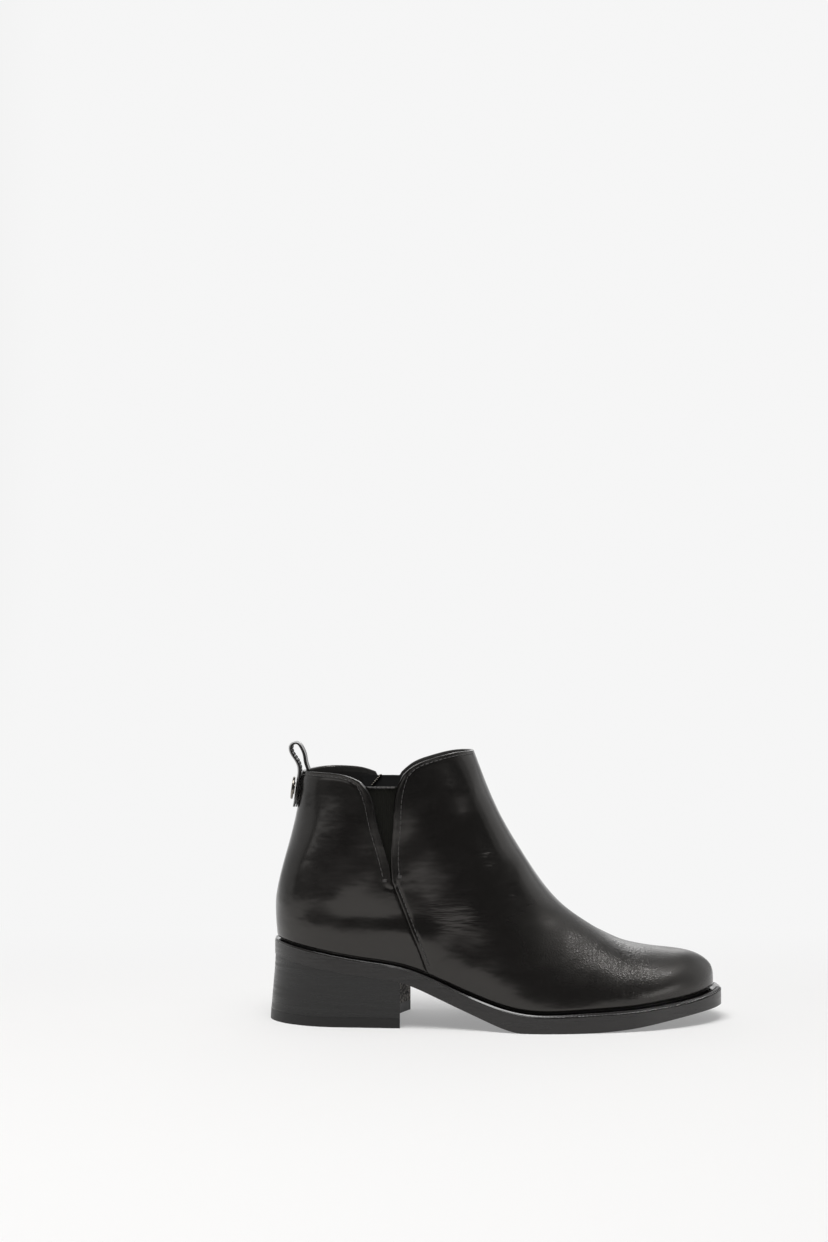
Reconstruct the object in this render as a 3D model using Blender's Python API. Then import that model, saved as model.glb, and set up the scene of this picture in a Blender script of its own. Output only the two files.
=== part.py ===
"""A right ankle boot with a block heel, an elastic V on its outer side and a zip on its inner side.

The boot stands on the floor at z = 0, its toe on +X and its outer side on -Y. Sizes and tables are in
millimetres: x from the back of the heel, y from the middle plane, z from the floor.
"""

import math
from collections import namedtuple

import bmesh
import bpy
import numpy as np
from mathutils import Matrix, Vector

for thing in list(bpy.data.objects):
    bpy.data.objects.remove(thing, do_unlink=True)

MM = 0.001

# Driving sizes
LENGTH = 257.0  # back of the heel to the tip of the welt
GAP = 0.3  # clearance between pieces that meet
WALL = 1.8  # upper leather with its lining
LAP = 0.9  # step where the front panel lies over the quarter
LAP_FADE = 16.0  # length over which that step fades into the panel
LAP_EDGE = 0.4  # half the run of the step's slope
WELT_THICK = 2.2
WELT_ROUND = 0.6  # rounding of the welt's upper edge
WELT_INSET = 1.9  # welt's inner edge, inside the foot of the upper
INSOLE_INSET = 2.8
INSOLE_RISE = 2.0  # insole's face above the foot of the upper
OUTSOLE_INSET = 0.2  # outsole's side, inside the welt's
FLAT_FROM, FLAT_TO = 140.0, 172.0  # tread that lies on the floor
HEEL_LIFT = 5.7  # top piece under the block
BREAST_OUTER, BREAST_INNER = 74.0, 79.8  # heel's front corners
BREAST_HOLLOW = 7.0
HEEL_SCALE_Y = 0.905  # heel's width at the floor, against its width at the seat

# How the upper's half-width falls to nothing at its edges
TOE_ROUND = 52.0  # length of the oval toe
FRONT_DEPTH = 51.0  # length of the shaft's rounded front
TUCK_POWER = 7  # how low the wall draws in at the sole
SHAFT_END, FOOT_START = 72.0, 150.0  # shaft sections give way to foot sections
SHIN_SLOPE = -2.4  # slope of the instep carried on above the collar

# Mesh counts, and how close the first steps lie against even ones
ROWS = 20  # from sole to collar
FIRST_ROW = 0.35
FIRST_COLUMN = 0.1  # at the back and the front of the boot
FIRST_STATION = 0.15  # at the back of the heel
REAR_COLUMNS, FRONT_COLUMNS = 10, 16
STATIONS = 30  # along each side of the sole
ACROSS = 4  # across the sole
HEEL_STATIONS = 9
LINE_SAMPLES = 800
PROBE = 0.5  # step over which a face's slope is measured
SHARP_ANGLE = 40.0  # edges above this many degrees stay sharp

# The foot by sections; tuck is the share by which the wall draws in at the sole
Foot = namedtuple("Foot", "x centre outer inner roundness tuck overhang")
FOOT = (
    Foot(0, 7.2, 32.0, 32.0, 1.8, 0.06, 1.4),
    Foot(40, 3.4, 32.0, 32.0, 1.8, 0.06, 1.5),
    Foot(80, 0.2, 33.0, 32.0, 1.8, 0.06, 2.0),
    Foot(110, -1.1, 36.6, 33.6, 1.8, 0.05, 2.6),
    Foot(150, -1.1, 40.4, 39.5, 1.7, 0.0, 3.7),
    Foot(170, -0.3, 40.4, 41.4, 1.7, 0.0, 3.8),
    Foot(200, 2.2, 39.7, 41.1, 1.9, 0.04, 3.9),
    Foot(225, 5.0, 37.0, 38.0, 2.2, 0.06, 4.2),
    Foot(253, 8.3, 34.0, 34.0, 2.4, 0.06, 4.7),
)

Shaft = namedtuple("Shaft", "z outer inner back_depth")
SHAFT = (
    Shaft(20, 29.6, 29.2, 36.0),
    Shaft(47, 30.6, 30.1, 36.0),
    Shaft(62, 31.3, 30.8, 37.7),
    Shaft(75, 31.7, 31.3, 39.3),
    Shaft(95, 32.4, 32.2, 42.0),
    Shaft(120, 33.8, 33.8, 45.0),
    Shaft(154, 35.0, 35.0, 47.0),
)

# Heights of the upper's foot and of the outsole's underside
Sole = namedtuple("Sole", "x upper under")
SOLE = (
    Sole(0.0, 47.5, 37.2),
    Sole(24.0, 43.6, 33.4),
    Sole(52.8, 38.7, 28.9),
    Sole(77.4, 34.6, 24.8),
    Sole(90.7, 29.9, 19.3),
    Sole(107.2, 22.5, 11.8),
    Sole(120.3, 17.4, 6.2),
    Sole(130.2, 14.2, 2.3),
    Sole(140.0, 12.1, 0.0),
    Sole(153.0, 11.0, 0.0),
    Sole(172.0, 11.5, 0.0),
    Sole(187.6, 12.1, 0.5),
    Sole(201.0, 12.7, 1.6),
    Sole(218.0, 14.0, 4.0),
    Sole(229.0, 15.0, 5.6),
    Sole(243.4, 16.8, 7.3),
    Sole(257.0, 19.4, 8.4),
)

# Levels of the heel: how far down, where its back is, how much of its narrowing is done
Heel = namedtuple("Heel", "drop back narrowing")
HEEL = (
    Heel(0.0, 2.8, 0.0),
    Heel(0.25, 2.4, 0.3),
    Heel(0.55, 1.6, 0.65),
    Heel(1.0, 0.4, 0.95),
)
LIFT = (Heel(0.0, 0.3, 0.97), Heel(1.0, 0.0, 1.0))

# Side-view lines of the upper, (x, z)
INSTEP = (
    (252.2, 18.7),
    (252.6, 25.0),
    (251.2, 29.8),
    (247.3, 33.8),
    (240.4, 37.2),
    (230.0, 39.5),
    (216.0, 40.9),
    (198.9, 44.6),
    (181.1, 54.3),
    (166.7, 64.6),
    (154.4, 78.3),
    (143.0, 95.4),
    (132.8, 112.5),
    (124.7, 129.6),
    (115.7, 153.3),
)
BACK = ((3.9, 47.0), (3.2, 56.0), (2.9, 66.0), (4.8, 78.3), (9.3, 95.4), (14.5, 116.0), (18.2, 141.0))
REAR_RIM = {
    "outer": ((18.2, 141.0), (31.4, 141.3), (43.5, 140.2), (48.5, 138.7), (52.5, 136.8)),
    "inner": ((18.2, 141.0), (32.3, 142.1), (42.6, 141.8), (53.1, 140.4), (59.5, 138.3)),
}
FRONT_RIM = {
    "outer": ((75.5, 141.0), (81.1, 145.7), (91.8, 149.8), (105.3, 152.8), (115.7, 153.3)),
    "inner": ((74.8, 138.5), (81.1, 143.5), (91.8, 148.0), (105.3, 151.9), (115.7, 153.3)),
}

# The side seam, up to where the quarter and the front panel part, and each one's edge from there
SEAM = {
    "outer": ((89.7, 30.3), (84.1, 45.5), (77.0, 63.2), (69.8, 82.0)),
    "inner": ((89.7, 30.3), (84.1, 45.5), (80.7, 54.0)),
}
QUARTER_EDGE = {
    "outer": ((69.8, 82.0), (66.2, 96.5), (60.8, 116.1), (55.6, 133.0), (52.5, 136.8)),
    "inner": ((80.7, 54.0), (75.6, 61.0), (69.9, 90.0), (64.9, 118.0), (61.8, 133.5), (59.5, 138.3)),
}
PANEL_EDGE = {
    "outer": ((69.8, 82.0), (69.2, 97.7), (70.5, 116.0), (72.4, 133.9), (75.5, 141.0)),
    "inner": ((80.7, 54.0), (83.2, 62.5), (78.5, 90.0), (73.5, 118.0), (71.6, 132.0), (74.8, 138.5)),
}
FORK_ROW = {"outer": 12, "inner": 6}
SIDES = {"outer": -1, "inner": 1}

# Cloth behind the wall: the elastic in the V and the zip's tape; counts are rows and columns
CLOTH_DEPTH = WALL + 0.5
GORE_THICK = 1.2
GORE_OVERLAP = 7.0
GORE_LOW, GORE_TOP = 76.0, 134.1
GORE_COUNTS = (8, 5)

# Zip on the inner side: its middle line runs straight from foot to top
ZIP_FOOT, ZIP_TOP = (80.7, 54.0), (65.9, 136.0)
TAPE_HALF, TAPE_THICK = 15.0, 0.8
TAPE_LOW = 48.0
TAPE_COUNTS = (10, 4)
TEETH_HALF, TEETH_THICK = 2.75, 1.8
TEETH_LOW, TEETH_TOP = 64.0, 122.6
TEETH_COUNTS = (16, 1)
SLIDER_AT = 129.5  # height of the slider's middle
SLIDER_WIDE, SLIDER_TALL, SLIDER_DEEP = 8.4, 12.0, 2.7
SLIDER_PROUD = 1.2  # slider's face above the leather
EAR_APART, EAR_WIDE, EAR_TALL = 4.1, 1.3, 3.4
EAR_OVER = 1.2  # ears above the pin
PIN_RADIUS, PIN_HEIGHT = 0.7, 2.5
PIN_UP = 3.2  # pin above the slider's middle
PIN_SIDES = 12
SUNK = 1.0  # depth by which joined shapes run into each other
EYE_RADIUS, EYE_HOLE, EYE_WIDE = 2.0, 1.15, 3.2
EYE_SIDES, EYE_HOLE_SIDES = 20, 16
PULL_LONG, PULL_WIDE, PULL_THICK = 17.0, 5.2, 1.2
NECK_LONG = 6.0

# Strap loop at the back, its middle line from inside the collar over to its free tail, (x, z)
STRAP = (
    (20.9, 130.0),
    (21.1, 136.0),
    (21.0, 140.6),
    (19.6, 145.0),
    (18.8, 149.4),
    (17.2, 153.5),
    (14.3, 156.5),
    (11.4, 155.3),
    (11.0, 151.9),
    (13.0, 148.2),
    (15.2, 144.4),
    (15.9, 140.6),
    (15.5, 136.6),
    (14.8, 131.0),
    (14.0, 125.5),
    (13.2, 119.9),
)
STRAP_STEPS = 44
STRAP_NUDGE = 0.002  # share of the strap left off at each end
STRAP_TOP = STRAP[6]
TAIL_FROM = 0.6  # share of the strap where its tail starts
STRAP_THICK, STRAP_HALF = 1.2, 8.0
STRAP_COLUMNS = 4
TAB_LOW, TAB_TOP, TAB_THICK = 120.0, 138.5, 0.7
TAB_ROWS = 6
STUD_AT = 130.5
Turn = namedtuple("Turn", "radius height")
STUD = (
    Turn(0.0, 0.0),
    Turn(3.5, 0.0),
    Turn(3.5, 0.5),
    Turn(6.2, 0.5),
    Turn(6.5, 0.8),
    Turn(6.5, 1.3),
    Turn(5.9, 1.8),
    Turn(4.9, 1.8),
    Turn(4.6, 1.5),
    Turn(0.0, 1.6),
)
STUD_SIDES = 24

FINISHES = {  # colour, roughness, metallic
    "black_leather": ((0.012, 0.011, 0.011), 0.35, 0.0),
    "dyed_sole_leather": ((0.014, 0.013, 0.012), 0.5, 0.0),
    "stacked_heel": ((0.016, 0.014, 0.013), 0.45, 0.0),
    "rubber": ((0.012, 0.012, 0.012), 0.7, 0.0),
    "lining_leather": ((0.02, 0.018, 0.017), 0.6, 0.0),
    "elastic": ((0.02, 0.02, 0.016), 0.9, 0.0),
    "zip_tape": ((0.01, 0.01, 0.01), 0.9, 0.0),
    "gunmetal": ((0.18, 0.17, 0.16), 0.3, 1.0),
}


def spline(knots, values):
    """A natural cubic through the knots, constant beyond its ends."""
    knots, values = np.asarray(knots, float), np.asarray(values, float)
    step = np.diff(knots)
    slope = np.diff(values) / step
    system, right = np.eye(len(knots)), np.zeros(len(knots))
    for i in range(1, len(knots) - 1):
        system[i, i - 1 : i + 2] = step[i - 1], 2 * (step[i - 1] + step[i]), step[i]
        right[i] = 6 * (slope[i] - slope[i - 1])
    bend = np.linalg.solve(system, right)

    def at(where):
        where = np.clip(where, knots[0], knots[-1])
        i = np.clip(np.searchsorted(knots, where) - 1, 0, len(step) - 1)
        d = where - knots[i]
        first = slope[i] - step[i] * (2 * bend[i] + bend[i + 1]) / 6
        return values[i] + d * (first + d * (bend[i] / 2 + d * (bend[i + 1] - bend[i]) / (6 * step[i])))

    return at


def column(table, name):
    """One column of a table as a smooth function of its first column."""
    return spline([row[0] for row in table], [getattr(row, name) for row in table])


def path(points):
    """A smooth curve through side-view points, by share of its length."""
    points = np.asarray(points, float)
    run = np.concatenate([[0], np.cumsum(np.linalg.norm(np.diff(points, axis=0), axis=1))])
    along = [spline(run / run[-1], points[:, k]) for k in (0, 1)]
    return lambda share: np.stack([along[0](share), along[1](share)], axis=-1)


CENTRE = column(FOOT, "centre")
ROUNDNESS = column(FOOT, "roundness")
TUCK = column(FOOT, "tuck")
OVERHANG = column(FOOT, "overhang")
FOOT_WIDTH = {side: column(FOOT, side) for side in SIDES}
SHAFT_WIDTH = {side: column(SHAFT, side) for side in SIDES}
BACK_DEPTH = column(SHAFT, "back_depth")
FEATHER = column(SOLE, "upper")
INSTEP_LINE = path(INSTEP)(np.linspace(0, 1, LINE_SAMPLES))
BACK_LINE = path(BACK)(np.linspace(0, 1, LINE_SAMPLES))
TOE_INDEX = int(np.argmax(INSTEP_LINE[:, 0]))
TOE_X = INSTEP_LINE[TOE_INDEX, 0]
COLLAR_X, COLLAR_Z = INSTEP[-1]


def under(x):
    """Height of the outsole's underside."""
    height = np.maximum(column(SOLE, "under")(x), 0)
    return np.where((x > FLAT_FROM) & (x < FLAT_TO), 0, height)


def instep_height(x):
    line = INSTEP_LINE[TOE_INDEX:][::-1]
    above_collar = COLLAR_Z + SHIN_SLOPE * (x - COLLAR_X)
    return np.where(x < COLLAR_X, above_collar, np.interp(x, line[:, 0], line[:, 1]))


def graded(count, first):
    """Shares from 0 to 1 that start close together and spread out."""
    even = np.linspace(0, 1, count + 1)
    return first * even + (1 - first) * even**2


def cap(share):
    """Quarter-round rise from 0 to 1."""
    return np.sqrt(1 - (1 - np.clip(share, 0, 1)) ** 2)


def smooth_step(low, high, value):
    share = np.clip((value - low) / (high - low), 0, 1)
    return share * share * (3 - 2 * share)


def half_width(x, z, side):
    """Distance of the upper's outer face from the centre line, at a point of the side view."""
    low = FEATHER(x)
    rise = np.clip((z - low) / (instep_height(x) - low), 0, 1)
    foot = FOOT_WIDTH[side](x) * np.sqrt(1 - rise ** ROUNDNESS(x)) * cap((TOE_X - x) / TOE_ROUND)
    foot = foot * (1 - TUCK(x) * (1 - rise) ** TUCK_POWER)
    back_x = np.interp(z, BACK_LINE[:, 1], BACK_LINE[:, 0])
    front_x = np.interp(z, INSTEP_LINE[:, 1], INSTEP_LINE[:, 0])
    shaft = SHAFT_WIDTH[side](z) * cap((x - back_x) / BACK_DEPTH(z)) * cap((front_x - x) / FRONT_DEPTH)
    share = smooth_step(SHAFT_END, FOOT_START, x)
    return share * foot + (1 - share) * shaft


def face_y(x, z, side):
    """The upper's outer face, as y."""
    return CENTRE(x) + SIDES[side] * half_width(x, z, side)


class Solid:
    """Points and faces in millimetres; points in one place are one point."""

    def __init__(self):
        self.places = {}
        self.points = []
        self.faces = []

    def point(self, place):
        key = tuple(np.round(np.asarray(place, float), 4))
        if key not in self.places:
            self.places[key] = len(self.points)
            self.points.append(key)
        return self.places[key]

    def face(self, *corners):
        ring = list(dict.fromkeys(self.point(corner) for corner in corners))
        if len(ring) > 2:
            self.faces.append(ring)

    def strip(self, one, two):
        for i in range(len(one) - 1):
            self.face(one[i], one[i + 1], two[i + 1], two[i])

    def grid(self, points):
        for one, two in zip(points[:-1], points[1:]):
            self.strip(one, two)

    def loops(self, rings, closed=False):
        """Joins closed rings one after the other, and the last to the first if closed."""
        rings = [np.concatenate([ring, ring[:1]]) for ring in rings]
        self.grid(rings + rings[:1] if closed else rings)

    def mesh(self, name):
        data = bpy.data.meshes.new(name)
        points = (np.array(self.points) - (LENGTH / 2, 0, 0)) * MM
        data.from_pydata(points.tolist(), [], self.faces)
        return finish_mesh(data)


def finish_mesh(data):
    """Turns the faces outwards and shades the rounds smooth."""
    work = bmesh.new()
    work.from_mesh(data)
    bmesh.ops.recalc_face_normals(work, faces=work.faces)
    work.to_mesh(data)
    work.free()
    data.shade_smooth()
    data.set_sharp_from_angle(angle=math.radians(SHARP_ANGLE))
    return data


def finish(name):
    """The material of that name."""
    if name in bpy.data.materials:
        return bpy.data.materials[name]
    colour, roughness, metallic = FINISHES[name]
    made = bpy.data.materials.new(name)
    made.use_nodes = True
    shader = made.node_tree.nodes["Principled BSDF"]
    shader.inputs["Base Color"].default_value = (*colour, 1)
    shader.inputs["Roughness"].default_value = roughness
    shader.inputs["Metallic"].default_value = metallic
    made.diffuse_color = (*colour, 1)
    return made


BOOT = bpy.data.objects.new("boot_frame", None)
bpy.context.scene.collection.objects.link(BOOT)


def add(data, material, place=None, parent=BOOT):
    """An object for the mesh, in its material, seated by a matrix."""
    made = bpy.data.objects.new(data.name, data)
    data.materials.append(finish(material))
    bpy.context.scene.collection.objects.link(made)
    made.parent = parent
    if place is not None:
        made.matrix_basis = place
    return made


def blend_patch(bottom, top, left, right, u, v):
    """Points inside four side-view border lines, rows by columns."""
    u, v = u[None, :, None], v[:, None, None]
    rows = (1 - v) * bottom[None] + v * top[None]
    columns = (1 - u) * left[:, None] + u * right[:, None]
    low = (1 - u) * bottom[0] + u * bottom[-1]
    high = (1 - u) * top[0] + u * top[-1]
    return rows + columns - (1 - v) * low - v * high


def edge_rows(side, edge, rows, slope):
    """Where each row meets the seam, and above the fork the quarter's or the panel's edge."""
    fork = FORK_ROW[side]
    seam = path(SEAM[side])(rows[: fork + 1] / rows[fork])
    free = path(edge[side])((rows[fork:] - rows[fork]) / (1 - rows[fork]))
    line = np.concatenate([seam, free[1:]])
    line[:, 0] += slope
    return line


def chart(side):
    """Side-view points of the quarter and of the front panel, rows by columns."""
    rows = graded(ROWS, FIRST_ROW)
    rear = graded(REAR_COLUMNS, FIRST_COLUMN)
    front = 1 - graded(FRONT_COLUMNS, FIRST_COLUMN)[::-1]
    patches = []
    for columns, left, right, rim in (
        (rear, path(BACK)(rows), edge_rows(side, QUARTER_EDGE, rows, -LAP_EDGE), REAR_RIM[side]),
        (front, edge_rows(side, PANEL_EDGE, rows, LAP_EDGE), path(INSTEP)(rows), FRONT_RIM[side]),
    ):
        top = path(rim)(columns)
        top[0], top[-1] = left[-1], right[-1]
        x = left[0, 0] + (right[0, 0] - left[0, 0]) * columns
        bottom = np.stack([x, FEATHER(x)], axis=-1)
        left[0, 1], right[0, 1] = bottom[0, 1], bottom[-1, 1]
        patches.append(blend_patch(bottom, top, left, right, columns, rows))
    return patches


def lift(flat, side, ridge):
    """Side-view points raised onto the upper's outer face; the ridge column is on the centre line."""
    width = half_width(flat[..., 0], flat[..., 1], side)
    width[:, ridge] = 0
    y = CENTRE(flat[..., 0]) + SIDES[side] * width
    return np.stack([flat[..., 0], y, flat[..., 1]], axis=-1)


def sheet_normals(sheets):
    """Outward normals at the points of the sheets, shared where they meet."""
    skin = Solid()
    total = {}
    for (side, _), sheet in sheets.items():
        across = np.diff(sheet, axis=1)
        up = np.diff(sheet, axis=0)
        facing = np.cross(across[:-1], up[:, :-1]) + np.cross(across[1:], up[:, 1:])
        for i, j in np.ndindex(facing.shape[:2]):
            for corner in (sheet[i, j], sheet[i, j + 1], sheet[i + 1, j], sheet[i + 1, j + 1]):
                place = skin.point(corner)
                total[place] = total.get(place, 0) - SIDES[side] * facing[i, j]
    result = {}
    for key, sheet in sheets.items():
        normal = np.array([[total[skin.point(place)] for place in row] for row in sheet])
        result[key] = normal / np.linalg.norm(normal, axis=-1, keepdims=True)
    return result


def upper():
    """The leather shell: four sheets, their inner faces, and the strips that close its edges."""
    sheets = {}
    for side in SIDES:
        quarter, panel = chart(side)
        sheets[side, "quarter"] = lift(quarter, side, 0)
        sheets[side, "panel"] = lift(panel, side, -1)
    normals = sheet_normals(sheets)
    lining = {key: sheets[key] - WALL * normals[key] for key in sheets}
    body = Solid()
    for side in SIDES:
        fork = FORK_ROW[side]
        quarter, quarter_in = sheets[side, "quarter"], lining[side, "quarter"]
        panel, panel_in = sheets[side, "panel"], lining[side, "panel"]
        from_edge = np.linalg.norm(panel - panel[:, :1], axis=-1)
        proud = LAP * (1 - smooth_step(0, LAP_FADE, from_edge))
        panel = panel + normals[side, "panel"] * proud[..., None]
        for foot in (quarter_in[0], panel_in[0]):
            foot[:, 2] = FEATHER(foot[:, 0])
        panel[0, :, 2] = FEATHER(panel[0, :, 0])
        seam_in = (quarter_in[: fork + 1, -1] + panel_in[: fork + 1, 0]) / 2
        quarter_in[: fork + 1, -1] = seam_in
        panel_in[: fork + 1, 0] = seam_in
        for sheet in (quarter, quarter_in, panel, panel_in):
            body.grid(sheet)
        for face, back in ((quarter, quarter_in), (panel, panel_in)):
            body.strip(face[0], back[0])
            body.strip(face[-1], back[-1])
        body.strip(quarter[: fork + 1, -1], panel[: fork + 1, 0])
        body.strip(quarter[fork:, -1], quarter_in[fork:, -1])
        body.strip(panel[fork:, 0], panel_in[fork:, 0])
        for end in (0, fork):
            body.face(quarter[end, -1], panel[end, 0], seam_in[end])
    return add(body.mesh("upper"), "black_leather")


def outline(distance):
    """The upper's foot line moved out by a distance, as an outer and an inner chain from back to toe."""
    share = (1 - np.cos(np.linspace(0, math.pi, STATIONS + 1))) / 2
    x = BACK[0][0] + (INSTEP[0][0] - BACK[0][0]) * share
    chains = []
    for side in SIDES:
        width = half_width(x, FEATHER(x), side)
        width[[0, -1]] = 0
        chains.append(np.stack([x, CENTRE(x) + SIDES[side] * width], axis=-1))
    ring = np.concatenate([chains[0], chains[1][-2:0:-1]])
    run = np.roll(ring, -1, axis=0) - np.roll(ring, 1, axis=0)
    out = np.stack([run[:, 1], -run[:, 0]], axis=-1)
    out = out / np.linalg.norm(out, axis=1, keepdims=True)
    ring = ring + out * np.broadcast_to(distance(ring[:, 0]), len(ring))[:, None]
    inner_chain = np.concatenate([ring[:1], ring[: STATIONS - 1 : -1]])
    return ring[: STATIONS + 1], inner_chain


def raised(flat, height):
    """Plan points given their height."""
    return np.concatenate([flat, height(flat[..., 0])[..., None]], axis=-1)


def crossed(outer, inner, hollow=0.0):
    """Plan points across from the outer chain to the inner one, the last row hollowed."""
    share = np.linspace(0, 1, ACROSS + 1)[None, :, None]
    rows = (1 - share) * outer[:, None] + share * inner[:, None]
    rows[-1, :, 0] -= hollow * (1 - (2 * share[0, :, 0] - 1) ** 2)
    return rows


def stack(name, levels):
    """A solid between level faces, each a grid of points from back to front."""
    body = Solid()
    body.grid(levels[0])
    body.grid(levels[-1])
    borders = [np.concatenate([g[:-1, 0], g[-1, :-1], g[:0:-1, -1], g[0, :0:-1]]) for g in levels]
    body.loops(borders)
    return body.mesh(name)


def welt_foot(x):
    return FEATHER(x) - GAP - WELT_THICK


def sole_face(x):
    return welt_foot(x) - GAP


def welt():
    rings = []
    for distance, height in (
        (lambda x: -WELT_INSET + 0 * x, lambda x: FEATHER(x) - GAP),
        (lambda x: OVERHANG(x) - WELT_ROUND, lambda x: FEATHER(x) - GAP),
        (OVERHANG, lambda x: FEATHER(x) - GAP - WELT_ROUND),
        (OVERHANG, welt_foot),
        (lambda x: -WELT_INSET + 0 * x, welt_foot),
    ):
        outer, inner = outline(distance)
        rings.append(raised(np.concatenate([outer, inner[-2:0:-1]]), height))
    body = Solid()
    body.loops(rings, closed=True)
    return add(body.mesh("welt"), "dyed_sole_leather")


def outsole():
    plan = crossed(*outline(lambda x: OVERHANG(x) - OUTSOLE_INSET))
    return add(stack("outsole", [raised(plan, sole_face), raised(plan, under)]), "dyed_sole_leather")


def insole():
    plan = crossed(*outline(lambda x: -INSOLE_INSET + 0 * x))
    top = raised(plan, lambda x: FEATHER(x) + INSOLE_RISE)
    return add(stack("insole", [top, raised(plan, lambda x: sole_face(x) + GAP)]), "lining_leather")


def heel_plan(level):
    """The sole's outline behind the breast, moved and narrowed for a level of the heel."""
    chains = []
    share = graded(HEEL_STATIONS, FIRST_STATION)
    for chain, breast in zip(outline(OVERHANG), (BREAST_OUTER, BREAST_INNER)):
        x = chain[0, 0] + (breast - chain[0, 0]) * share
        y = np.interp(x, chain[:, 0], chain[:, 1])
        middle = CENTRE(x)
        y = middle + (y - middle) * (1 - (1 - HEEL_SCALE_Y) * level.narrowing)
        x = level.back + (breast - level.back) * share
        chains.append(np.stack([x, y], axis=-1))
    chains[1][0] = chains[0][0]
    return crossed(*chains, hollow=BREAST_HOLLOW)


def heel_block():
    floor = HEEL_LIFT + GAP
    levels = []
    for level in HEEL:
        drop = level.drop
        levels.append(raised(heel_plan(level), lambda x: (1 - drop) * (under(x) - GAP) + drop * floor))
    return add(stack("heel_block", levels), "stacked_heel")


def heel_top_piece():
    levels = [raised(heel_plan(row), lambda x: HEEL_LIFT * (1 - row.drop) + 0 * x) for row in LIFT]
    return add(stack("heel_top_piece", levels), "rubber")


def offset_patch(name, side, left, right, low, top, depth, thick, counts):
    """A sheet that follows the upper's face at a depth below it, between two side-view lines."""
    rows, columns = counts
    z = np.linspace(low, top, rows + 1)[:, None]
    share = np.linspace(0, 1, columns + 1)[None]
    x = (1 - share) * left(z) + share * right(z)
    z = np.broadcast_to(z, x.shape)
    y = face_y(x, z, side)
    by_x = (face_y(x + PROBE, z, side) - face_y(x - PROBE, z, side)) / (2 * PROBE)
    by_z = (face_y(x, z + PROBE, side) - face_y(x, z - PROBE, side)) / (2 * PROBE)
    normal = SIDES[side] * np.stack([-by_x, np.ones_like(x), -by_z], axis=-1)
    normal = normal / np.linalg.norm(normal, axis=-1, keepdims=True)
    face = np.stack([x, y, z], axis=-1)
    return stack(name, [face - depth * normal, face - (depth + thick) * normal])


def edge_at(side, edge):
    """A V edge as x by height, straight down from its fork."""
    points = path(edge[side])(np.linspace(0, 1, LINE_SAMPLES))
    return lambda z: np.interp(z, points[:, 1], points[:, 0])


def gore():
    left, right = edge_at("outer", QUARTER_EDGE), edge_at("outer", PANEL_EDGE)
    data = offset_patch(
        "gore",
        "outer",
        lambda z: left(z) - GORE_OVERLAP,
        lambda z: right(z) + GORE_OVERLAP,
        GORE_LOW,
        GORE_TOP,
        CLOTH_DEPTH,
        GORE_THICK,
        GORE_COUNTS,
    )
    return add(data, "elastic")


def zip_x(z):
    """The zip's middle line."""
    share = (z - ZIP_FOOT[1]) / (ZIP_TOP[1] - ZIP_FOOT[1])
    return ZIP_FOOT[0] + share * (ZIP_TOP[0] - ZIP_FOOT[0])


def zip_strip(name, half, low, top, depth, thick, counts):
    return offset_patch(
        name, "inner", lambda z: zip_x(z) - half, lambda z: zip_x(z) + half, low, top, depth, thick, counts
    )


def zip_tape():
    data = zip_strip("zip_tape", TAPE_HALF, TAPE_LOW, ZIP_TOP[1], CLOTH_DEPTH, TAPE_THICK, TAPE_COUNTS)
    return add(data, "zip_tape")


def zip_teeth():
    depth = CLOTH_DEPTH - GAP - TEETH_THICK
    data = zip_strip("zip_teeth", TEETH_HALF, TEETH_LOW, TEETH_TOP, depth, TEETH_THICK, TEETH_COUNTS)
    return add(data, "gunmetal")


def zip_seat():
    """The slider's frame: X across the zip, Y out of the boot, Z up the zip, origin on the leather."""
    up = Vector((ZIP_TOP[0] - ZIP_FOOT[0], 0, ZIP_TOP[1] - ZIP_FOOT[1])).normalized()
    out = Vector((0, 1, 0))
    across = out.cross(up)
    x = zip_x(SLIDER_AT)
    place = Vector((x - LENGTH / 2, face_y(x, SLIDER_AT, "inner"), SLIDER_AT)) * MM
    turn = Matrix((across, out, up)).transposed().to_4x4()
    return Matrix.Translation(place) @ turn


def box(name, size, middle):
    """A closed box mesh with its middle at a point, in millimetres."""
    work = bmesh.new()
    scale = Matrix.Diagonal((*(Vector(size) * MM), 1))
    bmesh.ops.create_cube(work, size=1, matrix=Matrix.Translation(Vector(middle) * MM) @ scale)
    data = bpy.data.meshes.new(name)
    work.to_mesh(data)
    work.free()
    return data


def rod(name, radius, length, middle, sides):
    """A closed cylinder mesh along X, in millimetres."""
    work = bmesh.new()
    turn = Matrix.Rotation(math.pi / 2, 4, "Y")
    place = Matrix.Translation(Vector(middle) * MM) @ turn
    bmesh.ops.create_cone(
        work,
        cap_ends=True,
        segments=sides,
        radius1=radius * MM,
        radius2=radius * MM,
        depth=length * MM,
        matrix=place,
    )
    data = bpy.data.meshes.new(name)
    work.to_mesh(data)
    work.free()
    return data


def combine(target, data, operation):
    """Adds a helper mesh to an object, or cuts it away, with a Boolean."""
    helper = bpy.data.objects.new(data.name, data)
    bpy.context.scene.collection.objects.link(helper)
    helper.parent = target
    helper.hide_render = True
    helper.display_type = "WIRE"
    boolean = target.modifiers.new(data.name, "BOOLEAN")
    boolean.operation = operation
    boolean.object = helper
    boolean.solver = "EXACT"


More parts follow.
